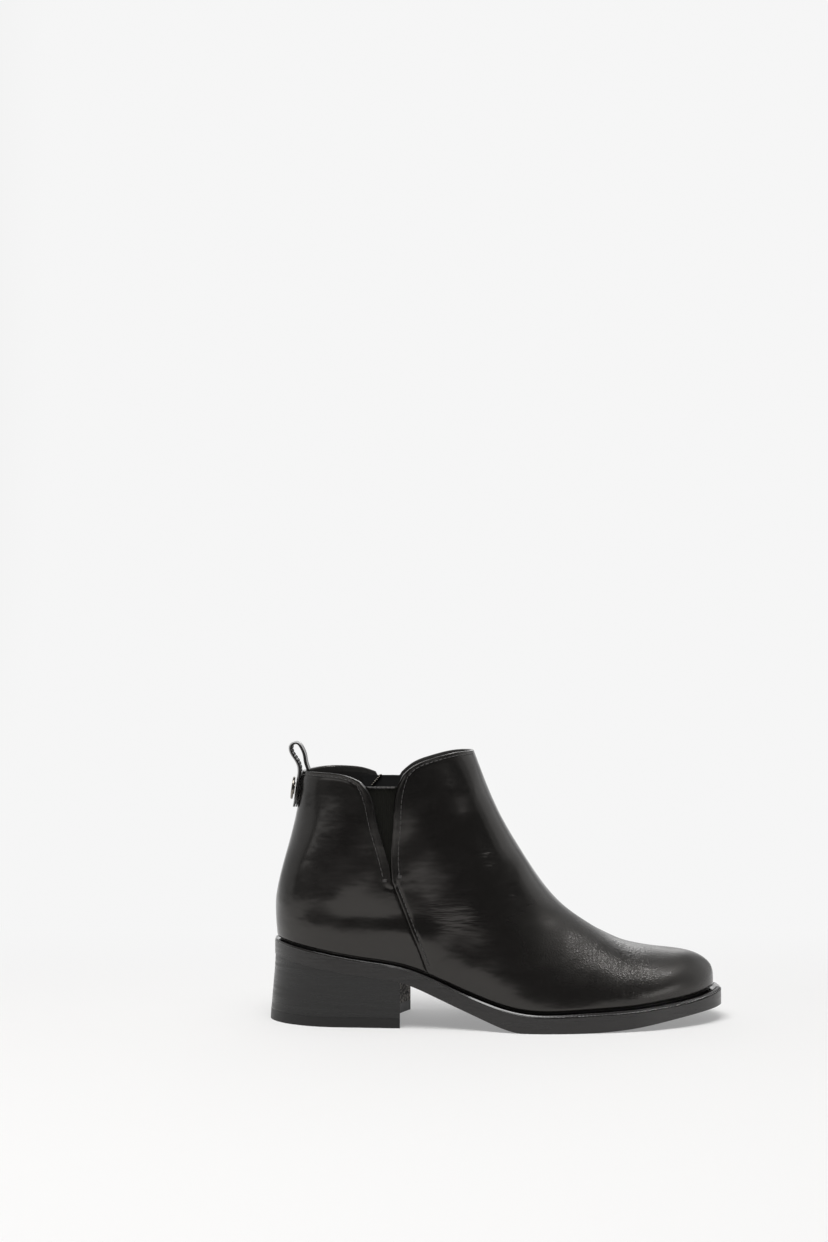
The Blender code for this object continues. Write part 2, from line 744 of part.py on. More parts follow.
def zip_slider():
    """The slider's body with two ears and the pin that carries the pull."""
    middle = SLIDER_PROUD - SLIDER_DEEP / 2
    slider = add(
        box("zip_slider", (SLIDER_WIDE, SLIDER_DEEP, SLIDER_TALL), (0, middle, 0)), "gunmetal", zip_seat()
    )
    reach = PIN_HEIGHT + EAR_OVER
    for end in (-1, 1):
        place = (end * (EAR_APART + EAR_WIDE) / 2, SLIDER_PROUD + (reach - SUNK) / 2, PIN_UP)
        combine(slider, box("slider_ear", (EAR_WIDE, reach + SUNK, EAR_TALL), place), "UNION")
    at = (0, SLIDER_PROUD + PIN_HEIGHT, PIN_UP)
    pin = rod("slider_pin", PIN_RADIUS, EAR_APART + SUNK, at, PIN_SIDES)
    combine(slider, pin, "UNION")
    return slider


def zip_pull():
    """The pull tab, its origin on the pin; it hangs down along the zip."""
    seat = zip_seat() @ Matrix.Translation(Vector((0, SLIDER_PROUD + PIN_HEIGHT, PIN_UP)) * MM)
    pull = add(rod("zip_pull", EYE_RADIUS, EYE_WIDE, (0, 0, 0), EYE_SIDES), "gunmetal", seat)
    combine(pull, box("pull_neck", (EYE_WIDE, PULL_THICK, NECK_LONG), (0, 0, -NECK_LONG / 2)), "UNION")
    blade = PULL_LONG - NECK_LONG + SUNK
    combine(pull, box("pull_blade", (PULL_WIDE, PULL_THICK, blade), (0, 0, -PULL_LONG + blade / 2)), "UNION")
    combine(pull, rod("pull_eye", EYE_HOLE, EYE_WIDE + 2 * SUNK, (0, 0, 0), EYE_HOLE_SIDES), "DIFFERENCE")
    return pull


STRAP_Y = float(CENTRE(STRAP_TOP[0]))


def back_bow(y):
    """How far the back of the collar curves forward, at a distance from its middle."""
    width, depth = SHAFT[-2].outer, SHAFT[-2].back_depth
    return depth * (1 - np.sqrt(1 - (y / width) ** 2))


def bowed(line, columns):
    """A side-view line spread across the strap's width, bowed round the back of the collar."""
    y = np.linspace(-STRAP_HALF, STRAP_HALF, columns + 1)[None]
    x = line[:, :1] + back_bow(y)
    z = np.broadcast_to(line[:, 1:], x.shape)
    return np.stack([x, np.broadcast_to(STRAP_Y + y, x.shape), z], axis=-1)


def strap_frame(share):
    """The strap's middle line and its normal, at shares of its length."""
    line = path(STRAP)(share)
    run = path(STRAP)(share + STRAP_NUDGE / 2) - path(STRAP)(share - STRAP_NUDGE / 2)
    normal = np.stack([run[:, 1], -run[:, 0]], axis=-1)
    return line, normal / np.linalg.norm(normal, axis=1, keepdims=True)


def pull_loop():
    line, normal = strap_frame(np.linspace(STRAP_NUDGE, 1 - STRAP_NUDGE, STRAP_STEPS + 1))
    faces = [bowed(line + side * normal * STRAP_THICK / 2, STRAP_COLUMNS) for side in (-1, 1)]
    return add(stack("pull_loop", faces), "black_leather")


def back_tab():
    z = np.linspace(TAB_LOW, TAB_TOP, TAB_ROWS + 1)
    x = np.interp(z, BACK_LINE[:, 1], BACK_LINE[:, 0])
    faces = []
    for off in (GAP, GAP + TAB_THICK):
        faces.append(bowed(np.stack([x - off, z], axis=-1), STRAP_COLUMNS))
    return add(stack("back_tab", faces), "black_leather")


def stud():
    """The stud's turned disc and neck on the tail of the strap."""
    line, normal = strap_frame(np.linspace(TAIL_FROM, 1 - STRAP_NUDGE, LINE_SAMPLES))
    at = int(np.argmin(np.abs(line[:, 1] - STUD_AT)))
    out = -normal[at] if normal[at][0] > 0 else normal[at]
    seat = line[at] + out * (STRAP_THICK / 2 + GAP)
    body = Solid()
    turns = np.linspace(0, 2 * math.pi, STUD_SIDES, endpoint=False)
    rings = []
    for row in STUD:
        centre = seat + out * row.height
        side = row.radius * np.cos(turns)
        rise = row.radius * np.sin(turns)
        x = centre[0] + rise * out[1]
        z = centre[1] - rise * out[0]
        rings.append(np.stack([x, STRAP_Y + side, z], axis=-1))
    body.loops(rings)
    return add(body.mesh("stud"), "gunmetal")


for piece in (
    outsole,
    welt,
    heel_block,
    heel_top_piece,
    insole,
    upper,
    gore,
    zip_tape,
    zip_teeth,
    zip_slider,
    zip_pull,
    pull_loop,
    back_tab,
    stud,
):
    piece()
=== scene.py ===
"""Looks of a right ankle boot: smooth black calf over a welted sole and a stacked block heel.

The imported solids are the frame. Each operator makes one group of pieces over them: the upper with its
rims, laps and creases, its thread, the sole, the heel, the elastic V, the zip and the pull loop. Tables are
in millimetres: x from the back of the heel, y from the middle plane, z from the floor.
"""

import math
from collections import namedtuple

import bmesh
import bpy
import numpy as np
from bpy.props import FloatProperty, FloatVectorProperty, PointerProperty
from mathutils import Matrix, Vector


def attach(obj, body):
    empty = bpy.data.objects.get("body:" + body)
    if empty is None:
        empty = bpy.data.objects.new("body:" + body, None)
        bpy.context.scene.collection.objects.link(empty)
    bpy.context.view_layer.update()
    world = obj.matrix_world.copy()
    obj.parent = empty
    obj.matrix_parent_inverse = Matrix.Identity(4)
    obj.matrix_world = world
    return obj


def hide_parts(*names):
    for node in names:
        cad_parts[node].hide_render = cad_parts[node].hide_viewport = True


bl_info = {
    "name": "Ankle Boot Looks",
    "version": (1, 0, 0),
    "blender": (4, 5, 0),
    "location": "3D View > Sidebar > Boot",
    "description": "Dresses the solids of a right ankle boot in leather, thread, elastic and metal",
    "category": "Object",
}

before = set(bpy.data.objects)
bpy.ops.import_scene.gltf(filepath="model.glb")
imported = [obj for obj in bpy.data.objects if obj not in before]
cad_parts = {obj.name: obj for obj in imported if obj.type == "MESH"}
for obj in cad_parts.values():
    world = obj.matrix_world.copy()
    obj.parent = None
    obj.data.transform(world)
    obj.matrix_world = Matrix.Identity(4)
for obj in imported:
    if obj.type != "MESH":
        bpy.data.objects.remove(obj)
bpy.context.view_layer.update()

MM = 0.001
TINY = 1e-9

# Driving sizes, as in the solids
LENGTH = 257.0
GAP = 0.3
WALL = 1.8
LAP = 0.9
LAP_FADE = 16.0
WELT_THICK = 2.2
WELT_INSET = 1.9
INSOLE_INSET = 2.8
INSOLE_RISE = 2.0
FLAT_FROM, FLAT_TO = 140.0, 172.0
HEEL_LIFT = 5.7
BREAST_OUTER, BREAST_INNER = 74.0, 79.8
BREAST_HOLLOW = 7.0
HEEL_SCALE_Y = 0.905
TOE_ROUND = 52.0
FRONT_DEPTH = 51.0
TUCK_POWER = 7
SHAFT_END, FOOT_START = 72.0, 150.0
SHIN_SLOPE = -2.4

# The last by x: its middle line, half widths, how round it is over the top, how far it tucks in at the
# sole, and how far the sole stands out
Foot = namedtuple("Foot", "x centre outer inner roundness tuck overhang")
FOOT = (
    Foot(0, 7.2, 32.0, 32.0, 1.8, 0.06, 1.4),
    Foot(40, 3.4, 32.0, 32.0, 1.8, 0.06, 1.5),
    Foot(80, 0.2, 33.0, 32.0, 1.8, 0.06, 2.0),
    Foot(110, -1.1, 36.6, 33.6, 1.8, 0.05, 2.6),
    Foot(150, -1.1, 40.4, 39.5, 1.7, 0.0, 3.7),
    Foot(170, -0.3, 40.4, 41.4, 1.7, 0.0, 3.8),
    Foot(200, 2.2, 39.7, 41.1, 1.9, 0.04, 3.9),
    Foot(225, 5.0, 37.0, 38.0, 2.2, 0.06, 4.2),
    Foot(253, 8.3, 34.0, 34.0, 2.4, 0.06, 4.7),
)

# The shaft by height: half widths, and how deep its round back is
Shaft = namedtuple("Shaft", "z outer inner back_depth")
SHAFT = (
    Shaft(20, 29.6, 29.2, 36.0),
    Shaft(47, 30.6, 30.1, 36.0),
    Shaft(62, 31.3, 30.8, 37.7),
    Shaft(75, 31.7, 31.3, 39.3),
    Shaft(95, 32.4, 32.2, 42.0),
    Shaft(120, 33.8, 33.8, 45.0),
    Shaft(154, 35.0, 35.0, 47.0),
)

# The sole by x: where the upper meets it, and its underside
Sole = namedtuple("Sole", "x upper under")
SOLE = (
    Sole(0.0, 47.5, 37.2),
    Sole(24.0, 43.6, 33.4),
    Sole(52.8, 38.7, 28.9),
    Sole(77.4, 34.6, 24.8),
    Sole(90.7, 29.9, 19.3),
    Sole(107.2, 22.5, 11.8),
    Sole(120.3, 17.4, 6.2),
    Sole(130.2, 14.2, 2.3),
    Sole(140.0, 12.1, 0.0),
    Sole(153.0, 11.0, 0.0),
    Sole(172.0, 11.5, 0.0),
    Sole(187.6, 12.1, 0.5),
    Sole(201.0, 12.7, 1.6),
    Sole(218.0, 14.0, 4.0),
    Sole(229.0, 15.0, 5.6),
    Sole(243.4, 16.8, 7.3),
    Sole(257.0, 19.4, 8.4),
)

# Levels of the heel: how far down, where its back is, how much of its narrowing is done
Heel = namedtuple("Heel", "drop back narrowing")
HEEL = (
    Heel(0.0, 2.8, 0.0),
    Heel(0.25, 2.4, 0.3),
    Heel(0.55, 1.6, 0.65),
    Heel(1.0, 0.4, 0.95),
)
LIFT = (Heel(0.0, 0.3, 0.97), Heel(1.0, 0.0, 1.0))

# Side-view lines of the upper, (x, z)
INSTEP = (
    (252.2, 18.7),
    (252.6, 25.0),
    (251.2, 29.8),
    (247.3, 33.8),
    (240.4, 37.2),
    (230.0, 39.5),
    (216.0, 40.9),
    (198.9, 44.6),
    (181.1, 54.3),
    (166.7, 64.6),
    (154.4, 78.3),
    (143.0, 95.4),
    (132.8, 112.5),
    (124.7, 129.6),
    (115.7, 153.3),
)
BACK = ((3.9, 47.0), (3.2, 56.0), (2.9, 66.0), (4.8, 78.3), (9.3, 95.4), (14.5, 116.0), (18.2, 141.0))
REAR_RIM = {
    "outer": ((18.2, 141.0), (31.4, 141.3), (43.5, 140.2), (48.5, 138.7), (52.5, 136.8)),
    "inner": ((18.2, 141.0), (32.3, 142.1), (42.6, 141.8), (53.1, 140.4), (59.5, 138.3)),
}
FRONT_RIM = {
    "outer": ((75.5, 141.0), (81.1, 145.7), (91.8, 149.8), (105.3, 152.8), (115.7, 153.3)),
    "inner": ((74.8, 138.5), (81.1, 143.5), (91.8, 148.0), (105.3, 151.9), (115.7, 153.3)),
}
SEAM = {
    "outer": ((89.7, 30.3), (84.1, 45.5), (77.0, 63.2), (69.8, 82.0)),
    "inner": ((89.7, 30.3), (84.1, 45.5), (80.7, 54.0)),
}
QUARTER_EDGE = {
    "outer": ((69.8, 82.0), (66.2, 96.5), (60.8, 116.1), (55.6, 133.0), (52.5, 136.8)),
    "inner": ((80.7, 54.0), (75.6, 61.0), (69.9, 90.0), (64.9, 118.0), (61.8, 133.5), (59.5, 138.3)),
}
PANEL_EDGE = {
    "outer": ((69.8, 82.0), (69.2, 97.7), (70.5, 116.0), (72.4, 133.9), (75.5, 141.0)),
    "inner": ((80.7, 54.0), (83.2, 62.5), (78.5, 90.0), (73.5, 118.0), (71.6, 132.0), (74.8, 138.5)),
}
SIDES = {"outer": -1, "inner": 1}
RIDGE = {"quarter": 0, "panel": -1}  # column of each part where the two sides meet

# Cloth behind the wall, and the zip
CLOTH_DEPTH = WALL + 0.5
GORE_THICK = 1.2
GORE_OVERLAP = 7.0
GORE_LOW, GORE_TOP = 76.0, 134.1
ZIP_FOOT, ZIP_TOP = (80.7, 54.0), (65.9, 136.0)
TAPE_HALF, TAPE_THICK = 15.0, 0.8
TAPE_LOW = 48.0
TEETH_HALF, TEETH_THICK = 2.75, 1.8
TEETH_LOW, TEETH_TOP = 64.0, 122.6
SLIDER_AT = 129.5
SLIDER_WIDE, SLIDER_TALL, SLIDER_DEEP = 8.4, 12.0, 2.7
SLIDER_PROUD = 1.2
EAR_APART, EAR_WIDE, EAR_TALL = 4.1, 1.3, 3.4
EAR_OVER = 1.2
PIN_RADIUS, PIN_HEIGHT, PIN_UP = 0.7, 2.5, 3.2
SUNK = 1.0  # depth by which joined metal shapes run into each other
EYE_RADIUS, EYE_HOLE, EYE_WIDE = 2.0, 1.15, 3.2
PULL_LONG, PULL_WIDE, PULL_THICK = 17.0, 5.2, 1.2

# Strap of the pull loop, (x, z), with its tab and stud
STRAP = (
    (20.9, 130.0),
    (21.1, 136.0),
    (21.0, 140.6),
    (19.6, 145.0),
    (18.8, 149.4),
    (17.2, 153.5),
    (14.3, 156.5),
    (11.4, 155.3),
    (11.0, 151.9),
    (13.0, 148.2),
    (15.2, 144.4),
    (15.9, 140.6),
    (15.5, 136.6),
    (14.8, 131.0),
    (14.0, 125.5),
    (13.2, 119.9),
)
STRAP_TOP = STRAP[6]
STRAP_THICK, STRAP_HALF = 1.2, 8.0
STRAP_NUDGE = 0.002
TAB_LOW, TAB_TOP, TAB_THICK = 120.0, 138.5, 0.7
STUD_AT = 130.5
TAIL_FROM = 0.6
# The stud, turned round its middle
Turn = namedtuple("Turn", "radius height")
STUD = (
    Turn(0.0, 0.0),
    Turn(3.5, 0.0),
    Turn(3.5, 0.5),
    Turn(6.0, 0.5),
    Turn(6.4, 0.65),
    Turn(6.5, 1.0),
    Turn(6.4, 1.45),
    Turn(6.0, 1.75),
    Turn(5.4, 1.8),
    Turn(5.0, 1.7),
    Turn(4.8, 1.4),
    Turn(4.5, 1.3),
    Turn(2.2, 1.45),
    Turn(0.0, 1.5),
)

# Mesh counts of the fine pieces
ROW_BREAKS = (0.0, 0.1635, 0.444, 1.0)  # sole, foot of the zip slot, foot of the V, collar
ROW_COUNTS = (28, 36, 66)
ROW_FIRSTS = (0.25, 1.0, 1.0)  # how close the first rows lie, against even ones
FORK_BREAK = {"outer": 2, "inner": 1}
REAR_COLUMNS, FRONT_COLUMNS = 46, 96
EDGE_COLUMNS = 12
FOLD_ROWS = 4  # rows below the collar where the leather is folded in over the lining
EDGE_SHARE = 0.06  # part of each panel's width that the edge columns take
FIRST_COLUMN = 0.1
FIRST_STATION = 0.15
STATIONS = 240
WELT_STATIONS = 480
ACROSS = 10
HEEL_STATIONS, HEEL_LEVELS = 60, 14
GORE_COUNTS, TAPE_COUNTS = (100, 180), (120, 60)
STRAP_STEPS, BAND_SIDES, TAB_STEPS = 160, 32, 40
STUD_SIDES, PIN_SIDES, EYE_SIDES, FOOT_STEPS = 64, 24, 32, 12
LINE_SAMPLES = 800
DENSE_SAMPLES = 4000  # for the steep places at the back and the front
SEAM_SAMPLES, TACK_SAMPLES = 400, 40
PROBE = 0.05
SHARP = 40.0  # edges above this many degrees stay sharp

SEAT_GAP = 0.05  # hairline between pieces that are glued together

# Leather laid on the last
RIM_BULGE = 0.55  # how far a turned edge rounds over
RIM_DROP_POWER = 8
ROLL_STEPS = 5
RIDGE_FADE = 9.0  # relief fades out this near the back and the front
SEAM_EDGE = 0.06  # half the run of the lap's cut edge
LAP_ROUND = 0.7
LAP_STEP = 0.35  # share of the lap that is its cut edge
LAP_TROUGH, LAP_TROUGH_WIDE = 0.7, 0.9
STITCH_TROUGH = 0.34
STITCH_TROUGH_WIDE = 0.8
FOOT_TURN, FOOT_TURN_TALL = 0.6, 0.8  # how far the leather turns under at the welt
WAVES_FROM, WAVES_FULL = 2.0, 16.0  # above the welt
SEAM_STITCH = 2.1  # thread beside the lapped seam
RIM_STITCH = 2.0  # thread below the collar
V_STITCH = {
    ("outer", "quarter"): 4.6,
    ("outer", "panel"): 4.0,
    ("inner", "quarter"): 3.0,
    ("inner", "panel"): 3.0,
}
CORNER_BLEND = 0.12  # share of the outline over which the thread's inset changes at a corner

# Soft waves of the leather: their length along and up, and their height
Ripple = namedtuple("Ripple", "along up phase height")
RIPPLES = (
    Ripple(46.0, 70.0, 0.4, 0.16),
    Ripple(-31.0, 52.0, 2.1, 0.10),
    Ripple(73.0, -38.0, 4.0, 0.14),
    Ripple(22.0, -27.0, 1.2, 0.05),
)

# Broad soft ridges (and hollows, where the height is negative), and fine creases
Fold = namedtuple("Fold", "side x z angle long wide height")
SWELLS = (
    Fold("outer", 44.0, 53.0, 0.0, 70.0, 6.0, 0.60),
    Fold("outer", 56.0, 63.0, -4.0, 60.0, 5.5, -0.50),
    Fold("outer", 42.0, 88.0, 0.0, 48.0, 20.0, 0.75),
    Fold("outer", 106.0, 37.0, -31.0, 70.0, 10.0, 1.20),
    Fold("outer", 200.0, 36.0, 90.0, 40.0, 18.0, 0.55),
    Fold("inner", 40.0, 56.0, 0.0, 64.0, 6.0, 0.45),
    Fold("inner", 54.0, 66.5, -4.0, 40.0, 5.5, -0.30),
    Fold("inner", 106.0, 37.0, -31.0, 70.0, 10.0, 0.90),
    Fold("inner", 200.0, 36.0, 90.0, 40.0, 18.0, 0.45),
)
CREASES = (
    Fold("outer", 121.0, 95.0, 4.0, 14.0, 1.6, -0.12),
    Fold("outer", 124.0, 90.5, 8.0, 12.0, 1.4, -0.10),
    Fold("outer", 131.0, 76.5, 24.0, 18.0, 1.8, -0.14),
    Fold("outer", 137.0, 74.0, 30.0, 14.0, 1.6, -0.12),
    Fold("outer", 133.0, 69.5, 22.0, 16.0, 1.8, -0.12),
    Fold("outer", 102.0, 65.5, 4.0, 18.0, 1.8, -0.12),
    Fold("outer", 107.0, 61.0, -4.0, 14.0, 1.6, -0.10),
    Fold("outer", 112.0, 76.0, 2.0, 13.0, 1.6, -0.10),
    Fold("outer", 158.0, 59.5, 6.0, 11.0, 1.5, -0.07),
    Fold("outer", 176.0, 40.0, 70.0, 22.0, 2.6, -0.08),
    Fold("outer", 186.0, 36.0, 76.0, 20.0, 2.4, -0.07),
    Fold("inner", 122.0, 93.0, 6.0, 16.0, 1.8, -0.09),
    Fold("inner", 131.0, 78.0, 22.0, 20.0, 2.0, -0.11),
    Fold("inner", 136.0, 71.0, 28.0, 16.0, 1.8, -0.09),
    Fold("inner", 106.0, 66.0, 2.0, 20.0, 2.0, -0.08),
    Fold("inner", 178.0, 40.0, 72.0, 24.0, 2.6, -0.09),
    Fold("inner", 189.0, 36.0, 78.0, 20.0, 2.4, -0.08),
)
SWELL_FADE, CREASE_FADE = 0.6, 0.5  # in lengths of the fold

# Places where the leather shows fine wrinkles: across the ankle, and over the ball of the foot, with duller
# leather at both ends of the ball
Patch = namedtuple("Patch", "x z long tall")
LEVEL_PATCHES = (
    Patch(121.0, 92.0, 13.0, 8.0),
    Patch(133.0, 73.0, 15.0, 10.0),
    Patch(104.0, 63.0, 17.0, 8.0),
)
BALL_PATCHES = (Patch(200.0, 34.0, 24.0, 16.0), Patch(176.0, 42.0, 20.0, 16.0))
DULL_PATCHES = (Patch(166.0, 53.0, 22.0, 18.0), Patch(228.0, 32.0, 17.0, 14.0))
WARM_WAX = (1.0, 0.95, 0.9, 1.0)  # cast of the wax in highlights
MASK_LOW, MASK_HIGH = 0.3, 0.7  # where most of a noise pattern's values lie

# A stitch: its points along its length, how far they stand off in thread widths, and its taper
STITCH_SHARES = np.array([0.0, 0.12, 0.5, 0.88, 1.0])
STITCH_RISE = np.array([-0.9, 0.45, 0.7, 0.45, -0.9])
STITCH_TAPER = np.array([0.5, 1.0, 1.0, 1.0, 0.5])
THREAD_SIDES = 8
FORK_CLEAR = 1.0  # thread stops this far above the fork
RIDGE_CLEAR = 0.3  # and this far from the back and the front
SEAM_FOOT, SEAM_CLEAR_LOW, SEAM_CLEAR_TOP = 88.0, 3.0, 1.0
TACK_LONG, TACK_TALL, TACK_COUNT = 2.6, 1.2, 4
TACK_FILL = 0.97
TACKS = ((65.6, 82.3, "quarter"), (74.0, 84.6, "panel"))

# Welt: share of the overhang, and depth below its top
Rail = namedtuple("Rail", "out drop")
WELT_PROFILE = (
    Rail(-0.10, 1.60),
    Rail(0.14, 1.65),
    Rail(0.24, 1.45),
    Rail(0.32, 1.05),
    Rail(0.40, 0.93),
    Rail(0.52, 0.88),
    Rail(0.62, 0.89),
    Rail(0.68, 0.94),
    Rail(0.71, 1.00),
    Rail(0.735, 1.08),
    Rail(0.935, 1.75),
    Rail(0.96, 1.82),
    Rail(0.97, 1.88),
    Rail(0.955, 1.93),
    Rail(0.91, 1.96),
    Rail(0.91, WELT_THICK),
)
WELT_BACK = 1.1  # depth of its inner edge
RAIL_FROM, RAIL_TO, BEVEL_TO = 0.3, 0.72, 0.94
WHEEL_DEEP = 0.45
TOE_RISE = 0.5  # the rail stands higher towards the toe
WHEEL_FROM, WHEEL_FULL = 120.0, 200.0
WELT_SHARP = 60.0
SOCK_ROUND, LIFT_ROUND = 0.6, 0.25
FACES_TOE = 0.6  # faces of the heel turned forward by more than this are the breast
HOLLOW_POWER = 8

# Elastic, zip and strap
RIB_RISE = 0.14
SELVEDGE_TALL, SELVEDGE_RISE, SELVEDGE_BLEND = 1.3, 0.3, 0.4
BINDING_DROP, BINDING_STITCH, BINDING_STEPS = 0.4, 2.6, 40
TAPE_RIDGE, TAPE_RIDGE_OUT, TAPE_RIDGE_WIDE = 0.25, 0.4, 0.5
END_TEETH = ((62.4, 136.2), (57.4, 130.4))  # end of the chain, turned back inside the boot
END_COUNT, END_TOOTH, END_TALL, END_ROUND = 7, 1.3, 0.91, 0.3
TOOTH_TALL, TOOTH_LONG, TOOTH_DEEP, TOOTH_ROUND = 1.0, 3.1, 1.7, 0.22
TOOTH_PAST = 0.55  # the head reaches this far past the middle
HEAD_FROM, HEAD_SLIM = 0.2, 0.75
CHAIN_CLEAR = 2.0
STOP_TALL, STOP_UP = 3.2, 0.6
SLIDER_ROUND, SLIDER_TAPER = 0.6, 0.28
METAL_ROUND = 0.4  # of the stop, the ears and the neck
BLADE_TOP, NECK_TALL = 3.2, 3.0
SLOT_SHARE, SLOT_DROP = 0.45, 3.4
BLADE_BREAK, BLADE_SHARP = 0.2, 60.0
PIPE_BREAK = 0.25
METAL_SHARP = 45.0
EDGE_SQUARE, FACE_SQUARE = 0.25, 0.5  # how square the band's section is
TAIL_BLUNT = 0.4
BAND_SHARP, UPPER_SHARP = 70.0, 50.0
STRAP_STITCH_IN = 1.4
STRAP_STITCH, STRAP_STITCH_PITCH = 1.7, 2.1
STRAP_STITCH_FROM, STRAP_THREAD = 0.45, 0.8

# Stage, in metres
CAMERA_AT = (-0.0467, -1.1928, 0.2259)
FRAME_TALL, FOCAL_PIXELS, SENSOR = 1242, 2100, 36.0
PAPER_FRONT, PAPER_BACK, PAPER_HALF = -0.43, 1.5, 2.4
PAPER_TALL, PAPER_BEND = 1.15, 0.5
PAPER_STEPS, BEND_STEPS = 24, 16
GROUND_REACH, GROUND_LEVEL = 6.0, -0.002
GROUND_GREY = "4a4a4a"
# The paper glows by itself, a painted light from something that is no lamp: full behind the boot, paler
# towards its sides, and a share of it under the boot
GLOW_FROM, GLOW_FULL = -0.05, 0.36
GLOW_NEAR = 0.3  # share of the paper's own glow under the boot, a painted light that lifts the boot's shadow there
PAPER_GLOW, SIDE_GLOW = 0.92, 0.5
SIDE_FROM, SIDE_FULL = 0.5, 1.1
TENT_FRONT, TENT_BACK = (0.04, 0.25), (0.45, 0.2)  # light of the tent, low and overhead
TENT_LOW, TENT_HIGH = 0.4, 0.8
TENT_EDGE = 0.05
WHITE = (1, 1, 1, 1)

# Soft lamps: some make only highlights, and the fill makes none
Lamp = namedtuple("Lamp", "name place aim wide tall power diffuse glossy", defaults=(True, True))
LAMPS = (
    Lamp("key_softbox", (-0.25, -0.55, 1.75), (0.0, 0.0, 0.05), 1.0, 1.0, 22.5),
    Lamp("toe_softbox", (0.7, -0.12, 1.03), (0.07, -0.03, 0.035), 0.13, 0.17, 3.5, diffuse=False),
    Lamp("floor_fill", (0.1, -0.3, 1.9), (0.05, 0.0, 0.0), 1.4, 1.2, 7.8, glossy=False),
    Lamp("rim_softbox", (0.16, 0.85, 0.8), (0.07, 0.0, 0.04), 0.5, 1.0, 3.2, diffuse=False),
    Lamp("side_softbox", (0.95, 0.25, 0.32), (0.1, 0.03, 0.05), 1.1, 0.7, 0.8, diffuse=False),
    Lamp("front_card", (0.92, -0.57, 0.13), (0.09, -0.03, 0.03), 0.55, 0.28, 1.35, diffuse=False),
    Lamp("left_card", (-1.0, -0.47, 0.33), (-0.1, 0.0, 0.15), 0.8, 0.24, 0.66),
)


def linear(code):
    """A colour from its sRGB hex code, as linear red, green, blue and full alpha."""
    shares = [int(code[k : k + 2], 16) / 255 for k in (0, 2, 4)]
    return (*(s / 12.92 if s <= 0.04045 else ((s + 0.055) / 1.055) ** 2.4 for s in shares), 1.0)


def size(name, description, millimetres):
    """A length that a user may change."""
    return FloatProperty(name=name, description=description, default=millimetres * MM, min=0, unit="LENGTH")


def colour(name, description, code):
    """A colour that a user may change."""
    return FloatVectorProperty(
        name=name, description=description, default=linear(code), size=4, subtype="COLOR", min=0, max=1
    )


class BootSizes(bpy.types.PropertyGroup):
    """Sizes of the finish"""

    stitch: size("Stitch", "Length of one stitch of the upper", 2.4)
    stitch_pitch: size("Stitch pitch", "Distance from stitch to stitch", 2.9)
    thread: size("Thread", "Width of the sewing thread", 0.5)
    grain: size("Grain", "Width of a grain of the calf", 0.9)
    wheel: size("Wheel marks", "Distance between the marks on the welt", 2.1)
    rib: size("Elastic rib", "Distance between the ribs of the elastic", 1.15)
    tooth: size("Tooth pitch", "Distance between the zip's teeth on one side", 2.2)


class BootColours(bpy.types.PropertyGroup):
    """Colours of the finish"""

    calf: colour("Calf", "Dyed leather of the upper", "1a1918")
    lining: colour("Lining", "Leather inside the shaft", "1b1918")
    sole: colour("Sole edge", "Dyed and burnished edge of welt and outsole", "201e1d")
    heel: colour("Heel", "Stacked leather of the heel", "100f0e")
    rubber: colour("Rubber", "Top piece under the heel", "100f0e")
    elastic: colour("Elastic", "Woven elastic of the V", "1a1a16")
    tape: colour("Tape", "Woven tape of the zip", "121212")
    thread: colour("Thread", "Waxed sewing thread", "484645")
    metal: colour("Metal", "Plating of the zip and the stud", "8a857d")
    floor: colour("Floor", "Seamless paper under the boot", "f4f3f2")


def spline(knots, values):
    """A natural cubic through the knots, constant beyond its ends."""
    knots, values = np.asarray(knots, float), np.asarray(values, float)
    step = np.diff(knots)
    slope = np.diff(values) / step
    system, right = np.eye(len(knots)), np.zeros(len(knots))
    for i in range(1, len(knots) - 1):
        system[i, i - 1 : i + 2] = step[i - 1], 2 * (step[i - 1] + step[i]), step[i]
        right[i] = 6 * (slope[i] - slope[i - 1])
    bend = np.linalg.solve(system, right)

    def at(where):
        where = np.clip(where, knots[0], knots[-1])
        i = np.clip(np.searchsorted(knots, where) - 1, 0, len(step) - 1)
        d = where - knots[i]
        first = slope[i] - step[i] * (2 * bend[i] + bend[i + 1]) / 6
        return values[i] + d * (first + d * (bend[i] / 2 + d * (bend[i + 1] - bend[i]) / (6 * step[i])))

    return at


def column(table, name):
    """One column of a table as a smooth function of its first column."""
    return spline([row[0] for row in table], [getattr(row, name) for row in table])


def run_of(points):
    """Distance along a line at each of its points."""
    return np.concatenate([[0], np.cumsum(np.linalg.norm(np.diff(points, axis=0), axis=1))])


def sampled(at, run, table):
    """Rows of a table that is known at distances along a line, at other distances."""
    return np.stack([np.interp(at, run, values) for values in table.T], axis=-1)


def unit(vectors):
    return vectors / np.maximum(np.linalg.norm(vectors, axis=-1, keepdims=True), TINY)


def aside(run):
    """Unit vectors square to the steps of a flat line."""
    return unit(np.stack([run[:, 1], -run[:, 0]], axis=-1))


def path(points):
    """A smooth curve through side-view points, by share of its length."""
    points = np.asarray(points, float)
    run = run_of(points)
    along = [spline(run / run[-1], points[:, k]) for k in (0, 1)]
    return lambda share: np.stack([along[0](share), along[1](share)], axis=-1)


